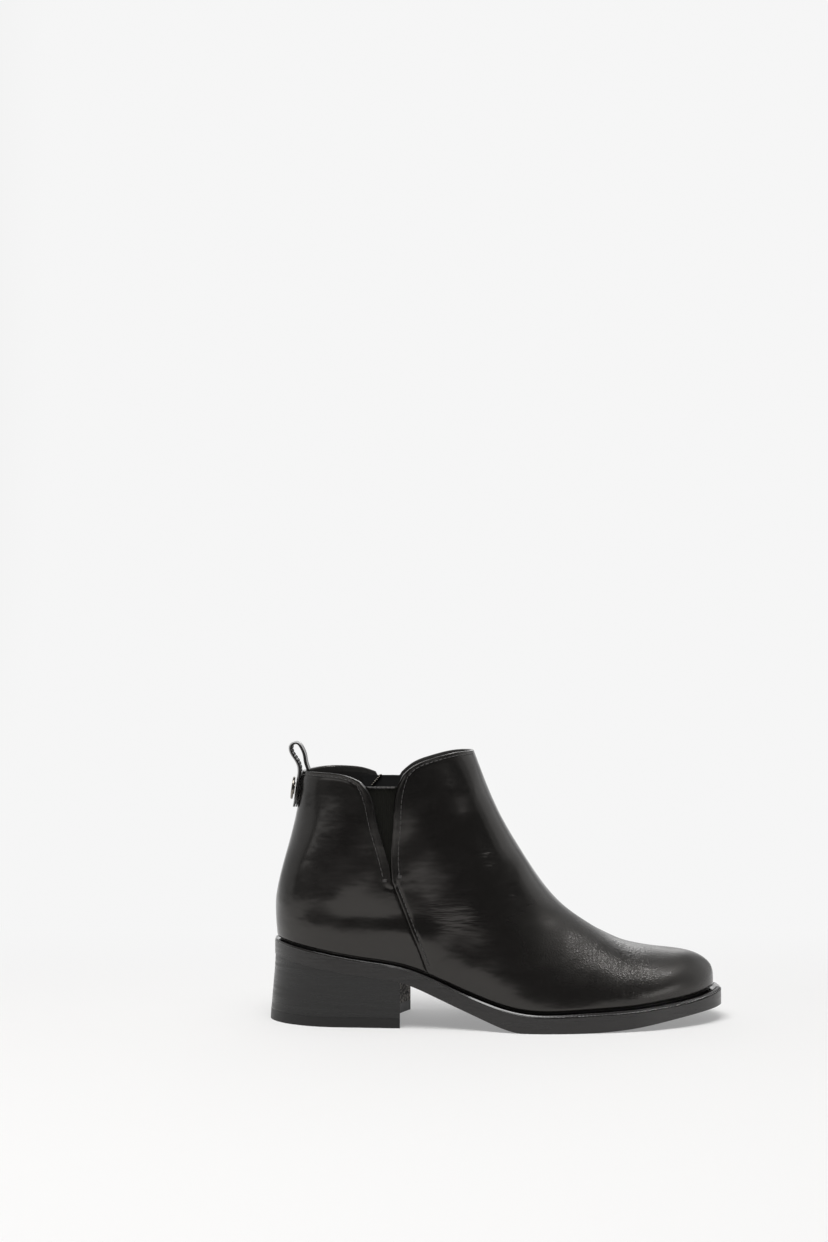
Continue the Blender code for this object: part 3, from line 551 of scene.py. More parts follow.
CENTRE = column(FOOT, "centre")
ROUNDNESS = column(FOOT, "roundness")
TUCK = column(FOOT, "tuck")
OVERHANG = column(FOOT, "overhang")
FOOT_WIDTH = {side: column(FOOT, side) for side in SIDES}
SHAFT_WIDTH = {side: column(SHAFT, side) for side in SIDES}
BACK_DEPTH = column(SHAFT, "back_depth")
FEATHER = column(SOLE, "upper")
UNDER = column(SOLE, "under")
EVEN = np.linspace(0, 1, LINE_SAMPLES)
INSTEP_LINE = path(INSTEP)(EVEN)
BACK_LINE = path(BACK)(EVEN)
TOE_INDEX = int(np.argmax(INSTEP_LINE[:, 0]))
TOE_X = INSTEP_LINE[TOE_INDEX, 0]
COLLAR_X, COLLAR_Z = INSTEP[-1]
RIMS = {"quarter": REAR_RIM, "panel": FRONT_RIM}
EDGES = {"quarter": QUARTER_EDGE, "panel": PANEL_EDGE}
STRAP_Y = float(CENTRE(STRAP_TOP[0]))


def under(x):
    """Height of the outsole's underside."""
    return np.where((x > FLAT_FROM) & (x < FLAT_TO), 0, np.maximum(UNDER(x), 0))


def back_x(z):
    return np.interp(z, BACK_LINE[:, 1], BACK_LINE[:, 0])


def front_x(z):
    return np.interp(z, INSTEP_LINE[:, 1], INSTEP_LINE[:, 0])


def instep_height(x):
    line = INSTEP_LINE[TOE_INDEX:][::-1]
    above_collar = COLLAR_Z + SHIN_SLOPE * (x - COLLAR_X)
    return np.where(x < COLLAR_X, above_collar, np.interp(x, line[:, 0], line[:, 1]))


def graded(count, first):
    """Shares from 0 to 1 that start close together and spread out."""
    even = np.linspace(0, 1, count + 1)
    return first * even + (1 - first) * even**2


def cap(share):
    """Quarter-round rise from 0 to 1."""
    return np.sqrt(1 - (1 - np.clip(share, 0, 1)) ** 2)


def smooth_step(low, high, value):
    share = np.clip((value - low) / (high - low), 0, 1)
    return share * share * (3 - 2 * share)


def half_width(x, z, side):
    """Distance of the last from the centre line, at a point of the side view."""
    low = FEATHER(x)
    rise = np.clip((z - low) / (instep_height(x) - low), 0, 1)
    foot = FOOT_WIDTH[side](x) * np.sqrt(1 - rise ** ROUNDNESS(x)) * cap((TOE_X - x) / TOE_ROUND)
    foot = foot * (1 - TUCK(x) * (1 - rise) ** TUCK_POWER)
    shaft = SHAFT_WIDTH[side](z) * cap((x - back_x(z)) / BACK_DEPTH(z))
    shaft = shaft * cap((front_x(z) - x) / FRONT_DEPTH)
    share = smooth_step(SHAFT_END, FOOT_START, x)
    return share * foot + (1 - share) * shaft


def face_y(x, z, side):
    return CENTRE(x) + SIDES[side] * half_width(x, z, side)


def face_frame(x, z, side):
    """Points of the last's face, and its normals there."""
    by_x = (face_y(x + PROBE, z, side) - face_y(x - PROBE, z, side)) / (2 * PROBE)
    by_z = (face_y(x, z + PROBE, side) - face_y(x, z - PROBE, side)) / (2 * PROBE)
    normal = SIDES[side] * np.stack([-by_x, np.ones_like(x), -by_z], axis=-1)
    return np.stack([x, face_y(x, z, side), z], axis=-1), unit(normal)


def free_edge(side, part):
    """The part's free outline in the side view, along the collar and down to the fork, sampled evenly."""
    rim, edge = path(RIMS[part][side])(EVEN), path(EDGES[part][side])(EVEN)
    if part == "panel":
        rim = rim[::-1]
    line = np.concatenate([rim, edge[::-1]])
    run = run_of(line)
    return sampled(np.linspace(0, run[-1], LINE_SAMPLES), run, line)


def edge_inset(side, part):
    """How far in from the free outline its thread runs: near at the collar, further along the V."""
    line = free_edge(side, part)
    corner = EVEN[np.linalg.norm(line - np.asarray(EDGES[part][side][-1]), axis=1).argmin()]
    share = smooth_step(corner - CORNER_BLEND, corner + CORNER_BLEND, EVEN)
    return RIM_STITCH + (V_STITCH[side, part] - RIM_STITCH) * share


def edge_distance(x, z, side, part):
    """Distance to the free outline, and the inset of its thread at the nearest point."""
    line, inset = free_edge(side, part), edge_inset(side, part)
    near = np.empty(x.shape)
    depth = np.empty(x.shape)
    for i in range(len(x)):
        apart = np.hypot(x[i][..., None] - line[:, 0], z[i][..., None] - line[:, 1])
        nearest = apart.argmin(axis=-1)
        near[i] = np.take_along_axis(apart, nearest[..., None], axis=-1)[..., 0]
        depth[i] = inset[nearest]
    return near, depth


def seam_x(z, side):
    """The lapped seam and, above its fork, the front panel's edge, as x by height."""
    line = np.concatenate([path(SEAM[side])(EVEN), path(PANEL_EDGE[side])(EVEN)])
    return np.interp(z, line[:, 1], line[:, 0])


def seam_stretch(z, side):
    """Level distance for each millimetre square to the seam."""
    return np.hypot(1, (seam_x(z + 1, side) - seam_x(z - 1, side)) / 2)


def seam_off(x, z, side):
    """Distance in front of the lapped seam, measured square to it."""
    return (x - seam_x(z, side)) / seam_stretch(z, side)


def trough(distance, wide):
    return np.exp(-((distance / wide) ** 2))


def waves(x, z, side):
    """Soft unevenness of leather that was pulled over the last by hand."""
    total = np.zeros_like(x)
    for row in RIPPLES:
        turn = x / row.along + z / row.up
        total = total + row.height * np.sin(2 * math.pi * turn + row.phase + SIDES[side])
    return total * smooth_step(WAVES_FROM, WAVES_FULL, z - FEATHER(x))


def along_and_across(row, x, z):
    """Place on a fold: along it in its lengths, and across it in its widths."""
    turn = math.radians(row.angle)
    dx, dz = x - row.x, z - row.z
    along = (dx * math.cos(turn) + dz * math.sin(turn)) / row.long
    return along, (dz * math.cos(turn) - dx * math.sin(turn)) / row.wide


def swells(x, z, side):
    """The broad ridges and hollows, each fading out along its length."""
    total = np.zeros_like(x)
    for row in SWELLS:
        if row.side == side:
            along, across = along_and_across(row, x, z)
            total = total + row.height * trough(across, 1) * trough(along, SWELL_FADE)
    return total


def creases(x, z, side):
    """The creases, each a bowed trough with a low ridge on either side."""
    total = np.zeros_like(x)
    for row in CREASES:
        if row.side == side:
            along, across = along_and_across(row, x, z)
            across = across + along**2
            total = total + row.height * (1 - across**2) * trough(across, 1) * trough(along, CREASE_FADE)
    return total


def relief(x, z, side, part):
    """How far the leather stands off the plain last, in millimetres."""
    proud = waves(x, z, side) + swells(x, z, side) + creases(x, z, side)
    proud = proud - FOOT_TURN * trough(z - FEATHER(x), FOOT_TURN_TALL)
    off = seam_off(x, z, side)
    if part == "panel":
        edge = LAP_STEP + (1 - LAP_STEP) * cap(off / LAP_ROUND)
        proud = proud + LAP * (1 - smooth_step(0, LAP_FADE, off)) * edge
        proud = proud - STITCH_TROUGH * trough(off - SEAM_STITCH, STITCH_TROUGH_WIDE)
    else:
        proud = proud - LAP_TROUGH * trough(off, LAP_TROUGH_WIDE)
    near, inset = edge_distance(x, z, side, part)
    return proud - STITCH_TROUGH * trough(near - inset, STITCH_TROUGH_WIDE)


def flex(x, z, patches):
    """Share of fine wrinkles at a point of the side view."""
    total = np.zeros_like(x)
    for row in patches:
        total = np.maximum(total, np.exp(-(((x - row.x) / row.long) ** 2) - ((z - row.z) / row.tall) ** 2))
    return total


def on_leather(x, z, side, part):
    """Points on the leather, and its normals there."""
    face, normal = face_frame(x, z, side)
    return face + normal * relief(x[None], z[None], side, part)[0][..., None], normal


def weld(grids):
    """One numbering for the points of several grids; points in one place are one point."""
    points = np.concatenate([grid.reshape(-1, 3) for grid in grids])
    _, first, where = np.unique(np.round(points, 3), axis=0, return_index=True, return_inverse=True)
    numbers = []
    start = 0
    for grid in grids:
        count = grid.shape[0] * grid.shape[1]
        numbers.append(where.ravel()[start : start + count].reshape(grid.shape[:2]))
        start += count
    return points[first], numbers


def quads(numbers):
    corners = (numbers[:-1, :-1], numbers[:-1, 1:], numbers[1:, 1:], numbers[1:, :-1])
    return np.stack(corners, axis=-1).reshape(-1, 4)


def placed(points):
    """Points in millimetres from the back of the heel, as points of the frame."""
    return ((points - (LENGTH / 2, 0, 0)) * MM).tolist()


def mesh_of(name, grids, slots=None, sharp=SHARP):
    """A mesh from grids of points in millimetres, its faces turned outwards."""
    points, numbers = weld(grids)
    faces, index = [], []
    for k, grid in enumerate(numbers):
        for corners in quads(grid).tolist():
            ring = list(dict.fromkeys(corners))
            if len(ring) > 2:
                faces.append(ring)
                index.append(slots[k] if slots else 0)
    data = bpy.data.meshes.new(name)
    data.from_pydata(placed(points), [], faces)
    data.polygons.foreach_set("material_index", index)
    work = bmesh.new()
    work.from_mesh(data)
    bmesh.ops.recalc_face_normals(work, faces=work.faces)
    work.to_mesh(data)
    work.free()
    data.shade_smooth()
    data.set_sharp_from_angle(angle=math.radians(sharp))
    return data


def piece(data, materials, body="boot", replaced=()):
    """An object for the mesh that rides on a body, and stands for the solids that it replaces."""
    made = bpy.data.objects.new(data.name, data)
    bpy.context.scene.collection.objects.link(made)
    for material in materials:
        data.materials.append(material)
    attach(made, body)
    if replaced:
        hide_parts(*replaced)
    return made


def bevel(made, width, segments=2):
    """Breaks the sharp edges of a piece."""
    rounding = made.modifiers.new("broken_edges", "BEVEL")
    rounding.width = width * MM
    rounding.segments = segments
    rounding.limit_method = "ANGLE"
    rounding.angle_limit = math.radians(SHARP)
    rounding.harden_normals = True


def put(tree, kind, inputs=None, **settings):
    """Adds a node with its settings; each input is a value, or a socket to link from."""
    made = tree.nodes.new(kind)
    for name, value in settings.items():
        setattr(made, name, value)
    for name, value in (inputs or {}).items():
        if isinstance(value, bpy.types.NodeSocket):
            tree.links.new(value, made.inputs[name])
        else:
            made.inputs[name].default_value = value
    return made


def shader_of(tree):
    return tree.nodes["Principled BSDF"]


def blank(name, **values):
    """A new material and its node tree, with constants set on the shader's own sockets."""
    made = bpy.data.materials.new(name)
    made.use_nodes = True
    for key, value in values.items():
        socket = key.replace("_", " ").title().replace("Ior", "IOR")
        shader_of(made.node_tree).inputs[socket].default_value = value
    return made, made.node_tree


def per(millimetres):
    """Scale of a pattern whose repeat has that size."""
    return 1 / (millimetres * MM)


def stretched(tree, x, y, z):
    """Object coordinates scaled so that a pattern's unit has these sizes in millimetres."""
    spot = put(tree, "ShaderNodeTexCoord").outputs["Object"]
    scale = (per(x), per(y), per(z))
    return put(tree, "ShaderNodeMapping", {"Vector": spot, "Scale": scale}).outputs["Vector"]


def noise(tree, x, y, z, detail=2.0, distortion=0.0):
    """Noise whose blots have these sizes in millimetres."""
    inputs = {"Vector": stretched(tree, x, y, z), "Scale": 1.0, "Detail": detail, "Distortion": distortion}
    return put(tree, "ShaderNodeTexNoise", inputs).outputs["Fac"]


def cells(tree, pitch, feature="F1"):
    """Distances in a pattern of cells of this width in millimetres."""
    inputs = {"Vector": stretched(tree, pitch, pitch, pitch), "Scale": 1.0}
    return put(tree, "ShaderNodeTexVoronoi", inputs, feature=feature).outputs["Distance"]


def bands(tree, sizes, direction, profile="SIN", **inputs):
    """Waves across a pattern whose unit has these sizes in millimetres."""
    inputs = {name.title(): value for name, value in inputs.items()}
    inputs["Vector"] = stretched(tree, *sizes)
    made = put(tree, "ShaderNodeTexWave", inputs, bands_direction=direction, wave_profile=profile)
    return made.outputs["Fac"]


def share_of(tree, name):
    """A share that the mesh carries at its points."""
    return put(tree, "ShaderNodeAttribute", attribute_name=name).outputs["Fac"]


def weighed(tree, terms, total=0.0):
    """Sum of values by their weights, on top of a first value."""
    for value, weight in terms:
        inputs = {0: value, 1: weight, 2: total}
        total = put(tree, "ShaderNodeMath", inputs, operation="MULTIPLY_ADD").outputs["Value"]
    return total


def tinted(tree, base, mask, low, high):
    """Links the base colour, darker and lighter by these factors where the mask is 0 and 1."""
    mixed = put(tree, "ShaderNodeMix", {"Factor": mask}, data_type="RGBA")
    for place, factor in (("A_Color", low), ("B_Color", high)):
        shade = (*(min(1, part * factor) for part in base[:3]), 1)
        next(socket for socket in mixed.inputs if socket.identifier == place).default_value = shade
    result = next(socket for socket in mixed.outputs if socket.identifier == "Result_Color")
    tree.links.new(result, shader_of(tree).inputs["Base Color"])


def roughened(tree, mask, low, high):
    """Links the roughness, between two values over the middle of the mask's range, and on beyond it."""
    inputs = {"Value": mask, "From Min": MASK_LOW, "From Max": MASK_HIGH, "To Min": low, "To Max": high}
    spread = put(tree, "ShaderNodeMapRange", inputs, clamp=False)
    tree.links.new(spread.outputs["Result"], shader_of(tree).inputs["Roughness"])


def bumped(tree, heights, depth):
    """Links a bump that adds up heights by their weights; depth is in millimetres."""
    inputs = {"Height": weighed(tree, heights), "Strength": 1.0, "Distance": depth * MM}
    made = put(tree, "ShaderNodeBump", inputs)
    for place in ("Normal", "Coat Normal"):
        tree.links.new(made.outputs["Normal"], shader_of(tree).inputs[place])


def times(tree, one, two):
    return put(tree, "ShaderNodeMath", {0: one, 1: two}, operation="MULTIPLY").outputs["Value"]


def dressed(tree, base, mask, shades, heights, depth, shine=None):
    """Links a material's bump and its colour, and its roughness where that follows the mask."""
    bumped(tree, heights, depth)
    if shine:
        roughened(tree, mask, *shine)
    tinted(tree, base, mask, *shades)


def waxed_calf(context):
    """Chrome-tanned calf, drum dyed and wax finished: fine pebbled grain, a soft warm shine, and hair-fine
    wrinkles where the foot flexes."""
    colours, sizes = context.scene.boot_colours, context.scene.boot_sizes
    made, tree = blank("waxed_calf", coat_weight=0.15, coat_roughness=0.16, specular_tint=WARM_WAX)
    grain = cells(tree, sizes.grain / MM, "SMOOTH_F1")
    fine = noise(tree, 0.45, 0.45, 0.45, 3.0)
    broad = noise(tree, 18, 18, 9)
    level = noise(tree, 9, 9, 1.4)
    cross = noise(tree, 1.4, 3.0, 3.0, distortion=0.6)
    crackle = cells(tree, 1.6, "DISTANCE_TO_EDGE")
    level_share, ball_share = share_of(tree, "level_flex"), share_of(tree, "ball_flex")
    heights = (
        (grain, 0.015),
        (fine, 0.02),
        (broad, 1.6),
        (times(tree, level, level_share), 1.2),
        (times(tree, cross, ball_share), 1.8),
        (times(tree, crackle, ball_share), 1.8),
    )
    worn = weighed(tree, ((ball_share, 0.5), (share_of(tree, "dull_flex"), 1.1)), broad)
    roughened(tree, worn, 0.17, 0.25)
    dressed(tree, colours.calf, fine, (0.8, 1.25), heights, 0.16)
    return made


def folded_calf(context):
    """Calf skived thin and folded in over the collar: stretched and unwaxed, so duller and greyer than the
    face."""
    made, tree = blank("folded_calf", roughness=0.55)
    stretch = noise(tree, 3, 3, 1.5, 3.0)
    dressed(tree, context.scene.boot_colours.calf, stretch, (2.0, 4.5), ((stretch, 0.5),), 0.15)
    return made


def lining_leather(context):
    """Thin dyed cow lining, plated but not waxed: matt, with open pores."""
    made, tree = blank("lining_leather", roughness=0.62)
    shade = noise(tree, 9, 9, 9, 3.0)
    heights = ((cells(tree, 0.8), 0.5), (shade, 0.3))
    dressed(tree, context.scene.boot_colours.lining, shade, (0.7, 1.3), heights, 0.12)
    return made


def burnished_edge(context):
    """Vegetable-tanned sole leather, trimmed, dyed black and burnished with wax: fine streaks along the
    edge and a low shine."""
    made, tree = blank("burnished_sole_edge", coat_weight=0.15, coat_roughness=0.18)
    streak = noise(tree, 26, 26, 1.9, 3.0)
    sole = context.scene.boot_colours.sole
    dressed(tree, sole, streak, (0.5, 1.7), ((streak, 0.8),), 0.12, (0.22, 0.46))
    return made


def waxed_welt(context):
    """Welt leather, bevelled with a hot iron and waxed: smoother than the edge below it, with a bright
    line."""
    made, tree = blank("waxed_welt", coat_weight=0.6, coat_roughness=0.1)
    ripple = noise(tree, 7, 7, 7)
    sole = context.scene.boot_colours.sole
    dressed(tree, sole, ripple, (0.7, 1.3), ((ripple, 0.5),), 0.12, (0.16, 0.26))
    return made


def stacked_leather(context):
    """Leather lifts glued in a stack, sanded and dyed: level hairlines, broken and uneven, with a dull
    polish."""
    made, tree = blank("stacked_heel_leather")
    line = noise(tree, 30, 30, 1.8, 4.0)
    lift = bands(tree, (60, 60, 3.6), "Z", "SAW", scale=0.32, distortion=1.2, detail=2.0)
    heights = ((line, 0.9), (lift, 0.1))
    dressed(tree, context.scene.boot_colours.heel, line, (0.5, 1.8), heights, 0.12, (0.2, 0.42))
    return made


def sanded_leather(context):
    """The breast of the stack, sanded across its lifts and only washed with dye: dull, with pale broken
    fibres."""
    made, tree = blank("sanded_heel_leather", roughness=0.75, specular_ior_level=0.3)
    fibre = noise(tree, 2.0, 2.4, 1.6, 4.0)
    pale = put(tree, "ShaderNodeMapRange", {"Value": fibre, "From Min": 0.4, "From Max": 0.66})
    heel = context.scene.boot_colours.heel
    dressed(tree, heel, pale.outputs["Result"], (4.0, 55.0), ((fibre, 1.0),), 0.3)
    return made


def moulded_rubber(context):
    """Moulded rubber, buffed at its edge: matt black with a fine tooth."""
    made, tree = blank("moulded_rubber")
    tooth = noise(tree, 0.5, 0.5, 0.5, 3.0)
    rubber = context.scene.boot_colours.rubber
    dressed(tree, rubber, tooth, (0.8, 1.25), ((tooth, 0.5),), 0.1, (0.38, 0.5))
    return made


def woven_elastic(context):
    """Rubber warps woven in with viscose: matt, with close level picks between its upright ribs."""
    made, tree = blank("woven_elastic", roughness=0.85, specular_ior_level=0.2)
    pick = bands(tree, (1, 1, 1), "Z", scale=0.5, distortion=0.6, detail=1.0)
    heights = ((pick, 0.5), (noise(tree, 1.1, 1.1, 4), 0.3))
    dressed(tree, context.scene.boot_colours.elastic, pick, (0.7, 1.4), heights, 0.12)
    return made


def woven_tape(context):
    """Polyester zip tape, woven in a fine twill: matt, with slanting ribs drawn coarse enough to show."""
    made, tree = blank("woven_zip_tape", roughness=0.85)
    twill = bands(tree, (1, 1, 1), "DIAGONAL", scale=0.55, distortion=0.4)
    heights = ((twill, 0.6), (noise(tree, 2, 2, 2), 0.3))
    dressed(tree, context.scene.boot_colours.tape, twill, (0.7, 1.4), heights, 0.12)
    return made


def waxed_thread(context):
    """Bonded polyester thread, drawn through wax: a twisted ply with a dull glint."""
    made, tree = blank("waxed_thread", roughness=0.5)
    ply = bands(tree, (0.6, 0.6, 0.6), "DIAGONAL", scale=0.5)
    dressed(tree, context.scene.boot_colours.thread, ply, (0.7, 1.3), ((ply, 0.5),), 0.1)
    return made


def plated_zinc(context):
    """Die-cast zinc, tumbled and plated dark: a soft metal shine with faint tumbling marks."""
    made, tree = blank("plated_zinc", metallic=1.0)
    marks = noise(tree, 0.9, 0.9, 0.9, 4.0)
    metal = context.scene.boot_colours.metal
    dressed(tree, metal, marks, (0.85, 1.1), ((marks, 0.3),), 0.05, (0.2, 0.34))
    return made


MATERIALS = {}


def wear(context, make):
    """The material that a function makes, made once."""
    if make.__name__ not in MATERIALS:
        MATERIALS[make.__name__] = make(context)
    return MATERIALS[make.__name__]


def blend_patch(bottom, top, left, right, u, v):
    """Points inside four side-view border lines, rows by columns."""
    u, v = u[None, :, None], v[:, None, None]
    rows = (1 - v) * bottom[None] + v * top[None]
    columns = (1 - u) * left[:, None] + u * right[:, None]
    low = (1 - u) * bottom[0] + u * bottom[-1]
    high = (1 - u) * top[0] + u * top[-1]
    return rows + columns - (1 - v) * low - v * high


def row_shares():
    """Shares of the height at which rows lie, with a row at each fork."""
    parts = [
        low + (high - low) * graded(count, first)[1:]
        for low, high, count, first in zip(ROW_BREAKS, ROW_BREAKS[1:], ROW_COUNTS, ROW_FIRSTS)
    ]
    return np.concatenate([[0.0], *parts])


def fork_row(side):
    return sum(ROW_COUNTS[: FORK_BREAK[side]])


def edge_rows(side, edge, rows, shift):
    """Where each row meets the seam, and above the fork the quarter's or the panel's edge."""
    fork = fork_row(side)
    seam = path(SEAM[side])(rows[: fork + 1] / rows[fork])
    free = path(edge[side])((rows[fork:] - rows[fork]) / (1 - rows[fork]))
    line = np.concatenate([seam, free[1:]])
    line[:, 0] += shift
    return line


def edge_columns():
    """Shares across a panel from its seam, close together there."""
    return EDGE_SHARE * graded(EDGE_COLUMNS, FIRST_COLUMN)


def chart(side):
    """Side-view points of the quarter and of the front panel, rows by columns."""
    rows = row_shares()
    near = edge_columns()
    rear = graded(REAR_COLUMNS, FIRST_COLUMN) * (1 - EDGE_SHARE)
    rear = np.concatenate([rear, 1 - near[:-1][::-1]])
    far = 1 - graded(FRONT_COLUMNS, FIRST_COLUMN)[::-1]
    front = np.concatenate([near, EDGE_SHARE + (1 - EDGE_SHARE) * far[1:]])
    patches = {}
    for part, columns, left, right in (
        ("quarter", rear, path(BACK)(rows), edge_rows(side, QUARTER_EDGE, rows, -SEAM_EDGE)),
        ("panel", front, edge_rows(side, PANEL_EDGE, rows, SEAM_EDGE), path(INSTEP)(rows)),
    ):
        top = path(RIMS[part][side])(columns)
        top[0], top[-1] = left[-1], right[-1]
        x = left[0, 0] + (right[0, 0] - left[0, 0]) * columns
        bottom = np.stack([x, FEATHER(x)], axis=-1)
        left[0, 1], right[0, 1] = bottom[0, 1], bottom[-1, 1]
        flat = blend_patch(bottom, top, left, right, columns, rows)
        flat[..., 1] -= RIM_BULGE * rows[:, None] ** RIM_DROP_POWER
        patches[part] = flat
    return patches


def sheet_normals(grids, outward):
    """Normals at the points of the sheets, shared where they meet."""
    points, numbers = weld(grids)
    total = np.zeros_like(points)
    for grid, sign in zip(numbers, outward):
        ring = quads(grid)
        a, b, c, d = (points[ring[:, k]] for k in range(4))
        facing = sign * np.cross(c - a, d - b)
        for k in range(4):
            np.add.at(total, ring[:, k], facing)
    total = unit(total)
    return [total[grid] for grid in numbers]


def roll(face, back, beyond, height):
    """Rows that round a turned edge over, from the face to the back of the leather."""
    rows = []
    for turn in np.linspace(0, math.pi, ROLL_STEPS + 1):
        share = (1 - math.cos(turn)) / 2
        rows.append((1 - share) * face + share * back + unit(beyond) * (height * math.sin(turn))[:, None])
    rows[-1] = back
    return np.stack(rows)


def wall_sheets():
    """Outer and inner points of the wall by side and part, rows by columns."""
    flats = {(side, part): flat for side in SIDES for part, flat in chart(side).items()}
    sheets = {}
    for (side, part), flat in flats.items():
        width = half_width(flat[..., 0], flat[..., 1], side)
        width[:, RIDGE[part]] = 0
        y = CENTRE(flat[..., 0]) + SIDES[side] * width
        sheets[side, part] = np.stack([flat[..., 0], y, flat[..., 1]], axis=-1)
    normals = sheet_normals(list(sheets.values()), [-SIDES[side] for side, _ in sheets])
    faces, backs = {}, {}
    for (key, sheet), normal in zip(sheets.items(), normals):
        x, z = flats[key][..., 0], flats[key][..., 1]
        from_ridge = np.linalg.norm(sheet - sheet[:, [RIDGE[key[1]]]], axis=-1)
        stand = relief(x, z, *key) * smooth_step(0, RIDGE_FADE, from_ridge)
        faces[key] = sheet + normal * stand[..., None]
        backs[key] = sheet - normal * WALL
        for grid in (faces[key], backs[key]):
            grid[0, :, 2] = FEATHER(grid[0, :, 0])
    return faces, backs


def turned_edges(side, faces, backs):
    """Rounded edges of the quarter and the panel, along the collar and along the V or the slot."""
    fork = fork_row(side)
    gap = np.linalg.norm(faces[side, "quarter"][fork:, -1] - faces[side, "panel"][fork:, 0], axis=-1)
    height = np.minimum(RIM_BULGE, gap / 3)
    grids = []
    for part, edge, inside in (("quarter", -1, -2), ("panel", 0, 1)):
        face, back = faces[side, part], backs[side, part]
        rim_out = face[-1] - face[-2]
        edge_out = face[fork:, edge] - face[fork:, inside]
        rim_out[edge] = edge_out[-1] = face[-1, edge] - face[-2, inside]
        grids.append(roll(face[-1], back[-1], rim_out, np.full(face.shape[1], RIM_BULGE)))
        grids.append(roll(face[fork:, edge], back[fork:, edge], edge_out, height))
    return grids


def upper_shell():
    """The leather wall: fine outer sheets with their relief, inner sheets, and turned edges."""
    faces, backs = wall_sheets()
    grids, slots = [], []
    for side in SIDES:
        fork = fork_row(side)
        quarter, panel = faces[side, "quarter"], faces[side, "panel"]
        quarter_in, panel_in = backs[side, "quarter"], backs[side, "panel"]
        seam_in = (quarter_in[: fork + 1, -1] + panel_in[: fork + 1, 0]) / 2
        quarter_in[: fork + 1, -1] = seam_in
        panel_in[: fork + 1, 0] = seam_in
        outside = turned_edges(side, faces, backs)
        outside.append(np.stack([quarter[: fork + 1, -1], panel[: fork + 1, 0]]))
        for end in (0, fork):
            outside.append(np.array([[quarter[end, -1], panel[end, 0]], [seam_in[end], seam_in[end]]]))
        grids += outside
        slots += [0] * len(outside)
        for face, back in ((quarter, quarter_in), (panel, panel_in)):
            grids += [face, back[:-FOLD_ROWS], back[-FOLD_ROWS - 1 :], np.stack([face[0], back[0]])]
            slots += [0, 1, 2, 1]
    data = mesh_of("upper", grids, slots, UPPER_SHARP)
    places = np.empty(len(data.vertices) * 3)
    data.vertices.foreach_get("co", places)
    places = places.reshape(-1, 3) / MM
    x, z = places[:, 0] + LENGTH / 2, places[:, 2]
    shares = {"level_flex": LEVEL_PATCHES, "ball_flex": BALL_PATCHES, "dull_flex": DULL_PATCHES}
    for name, patches in shares.items():
        data.attributes.new(name, "FLOAT", "POINT").data.foreach_set("value", flex(x, z, patches))
    return data


class BOOT_OT_upper(bpy.types.Operator):
    """Makes the leather upper with its lining"""

    bl_idname = "boot.upper"
    bl_label = "Upper"

    def execute(self, context):
        materials = [wear(context, make) for make in (waxed_calf, lining_leather, folded_calf)]
        piece(upper_shell(), materials, replaced=("upper",))
        return {"FINISHED"}


def stitches(points, normals, pitch, long, thread):
    """Short paths of thread along a line, with their normals: each rises from the leather and dips back."""
    run = run_of(points)
    starts = np.arange(0, run[-1] - long, pitch) + (run[-1] - long) % pitch / 2
    at = starts[:, None] + long * STITCH_SHARES
    normal = unit(sampled(at, run, normals))
    return sampled(at, run, points) + normal * (STITCH_RISE * thread)[None, :, None], normal


def thread_mesh(name, rows, width):
    """One mesh of all the stitches."""
    paths = np.concatenate([row[0] for row in rows])
    normals = np.concatenate([row[1] for row in rows])
    run = unit(np.gradient(paths, axis=1))
    across = unit(np.cross(run, normals))
    up = np.cross(across, run)
    turns = np.linspace(0, 2 * math.pi, THREAD_SIDES, endpoint=False)
    radius = width / 2 * STITCH_TAPER[None, :, None, None]
    ring = across[:, :, None] * np.cos(turns)[:, None] + up[:, :, None] * np.sin(turns)[:, None]
    points = paths[:, :, None] + radius * ring
    count, rings = paths.shape[:2]
    number = np.arange(count * rings * THREAD_SIDES).reshape(count, rings, THREAD_SIDES)
    after = np.roll(number, -1, axis=2)
    sides = np.stack([number[:, :-1], after[:, :-1], after[:, 1:], number[:, 1:]], axis=-1)
    faces = sides.reshape(-1, 4).tolist() + number[:, 0, ::-1].tolist() + number[:, -1].tolist()
    data = bpy.data.meshes.new(name)
    data.from_pydata(placed(points.reshape(-1, 3)), [], faces)
    data.shade_smooth()
    return data


def inset_line(side, part):
    """Side-view line of the thread inside the part's free outline, as x and z."""
    line = free_edge(side, part)
    inward = 1 if part == "quarter" else -1
    line = line + inward * aside(np.gradient(line, axis=0)) * edge_inset(side, part)[:, None]
    x, z = line.T
    keep = z > EDGES[part][side][0][1] + FORK_CLEAR
    line = line[keep & (x > back_x(z) + RIDGE_CLEAR) & (x < front_x(z) - RIDGE_CLEAR)]
    run = run_of(line)
    return sampled(np.linspace(0, run[-1], DENSE_SAMPLES), run, line).T


def bar_tack(x, z, side, part):
    """Lines of the close bar of thread that ends a row."""
    across = np.linspace(-TACK_LONG / 2, TACK_LONG / 2, TACK_SAMPLES)
    for step in np.linspace(-TACK_TALL / 2, TACK_TALL / 2, TACK_COUNT):
        yield on_leather(x + across, np.full_like(across, z + step), side, part)


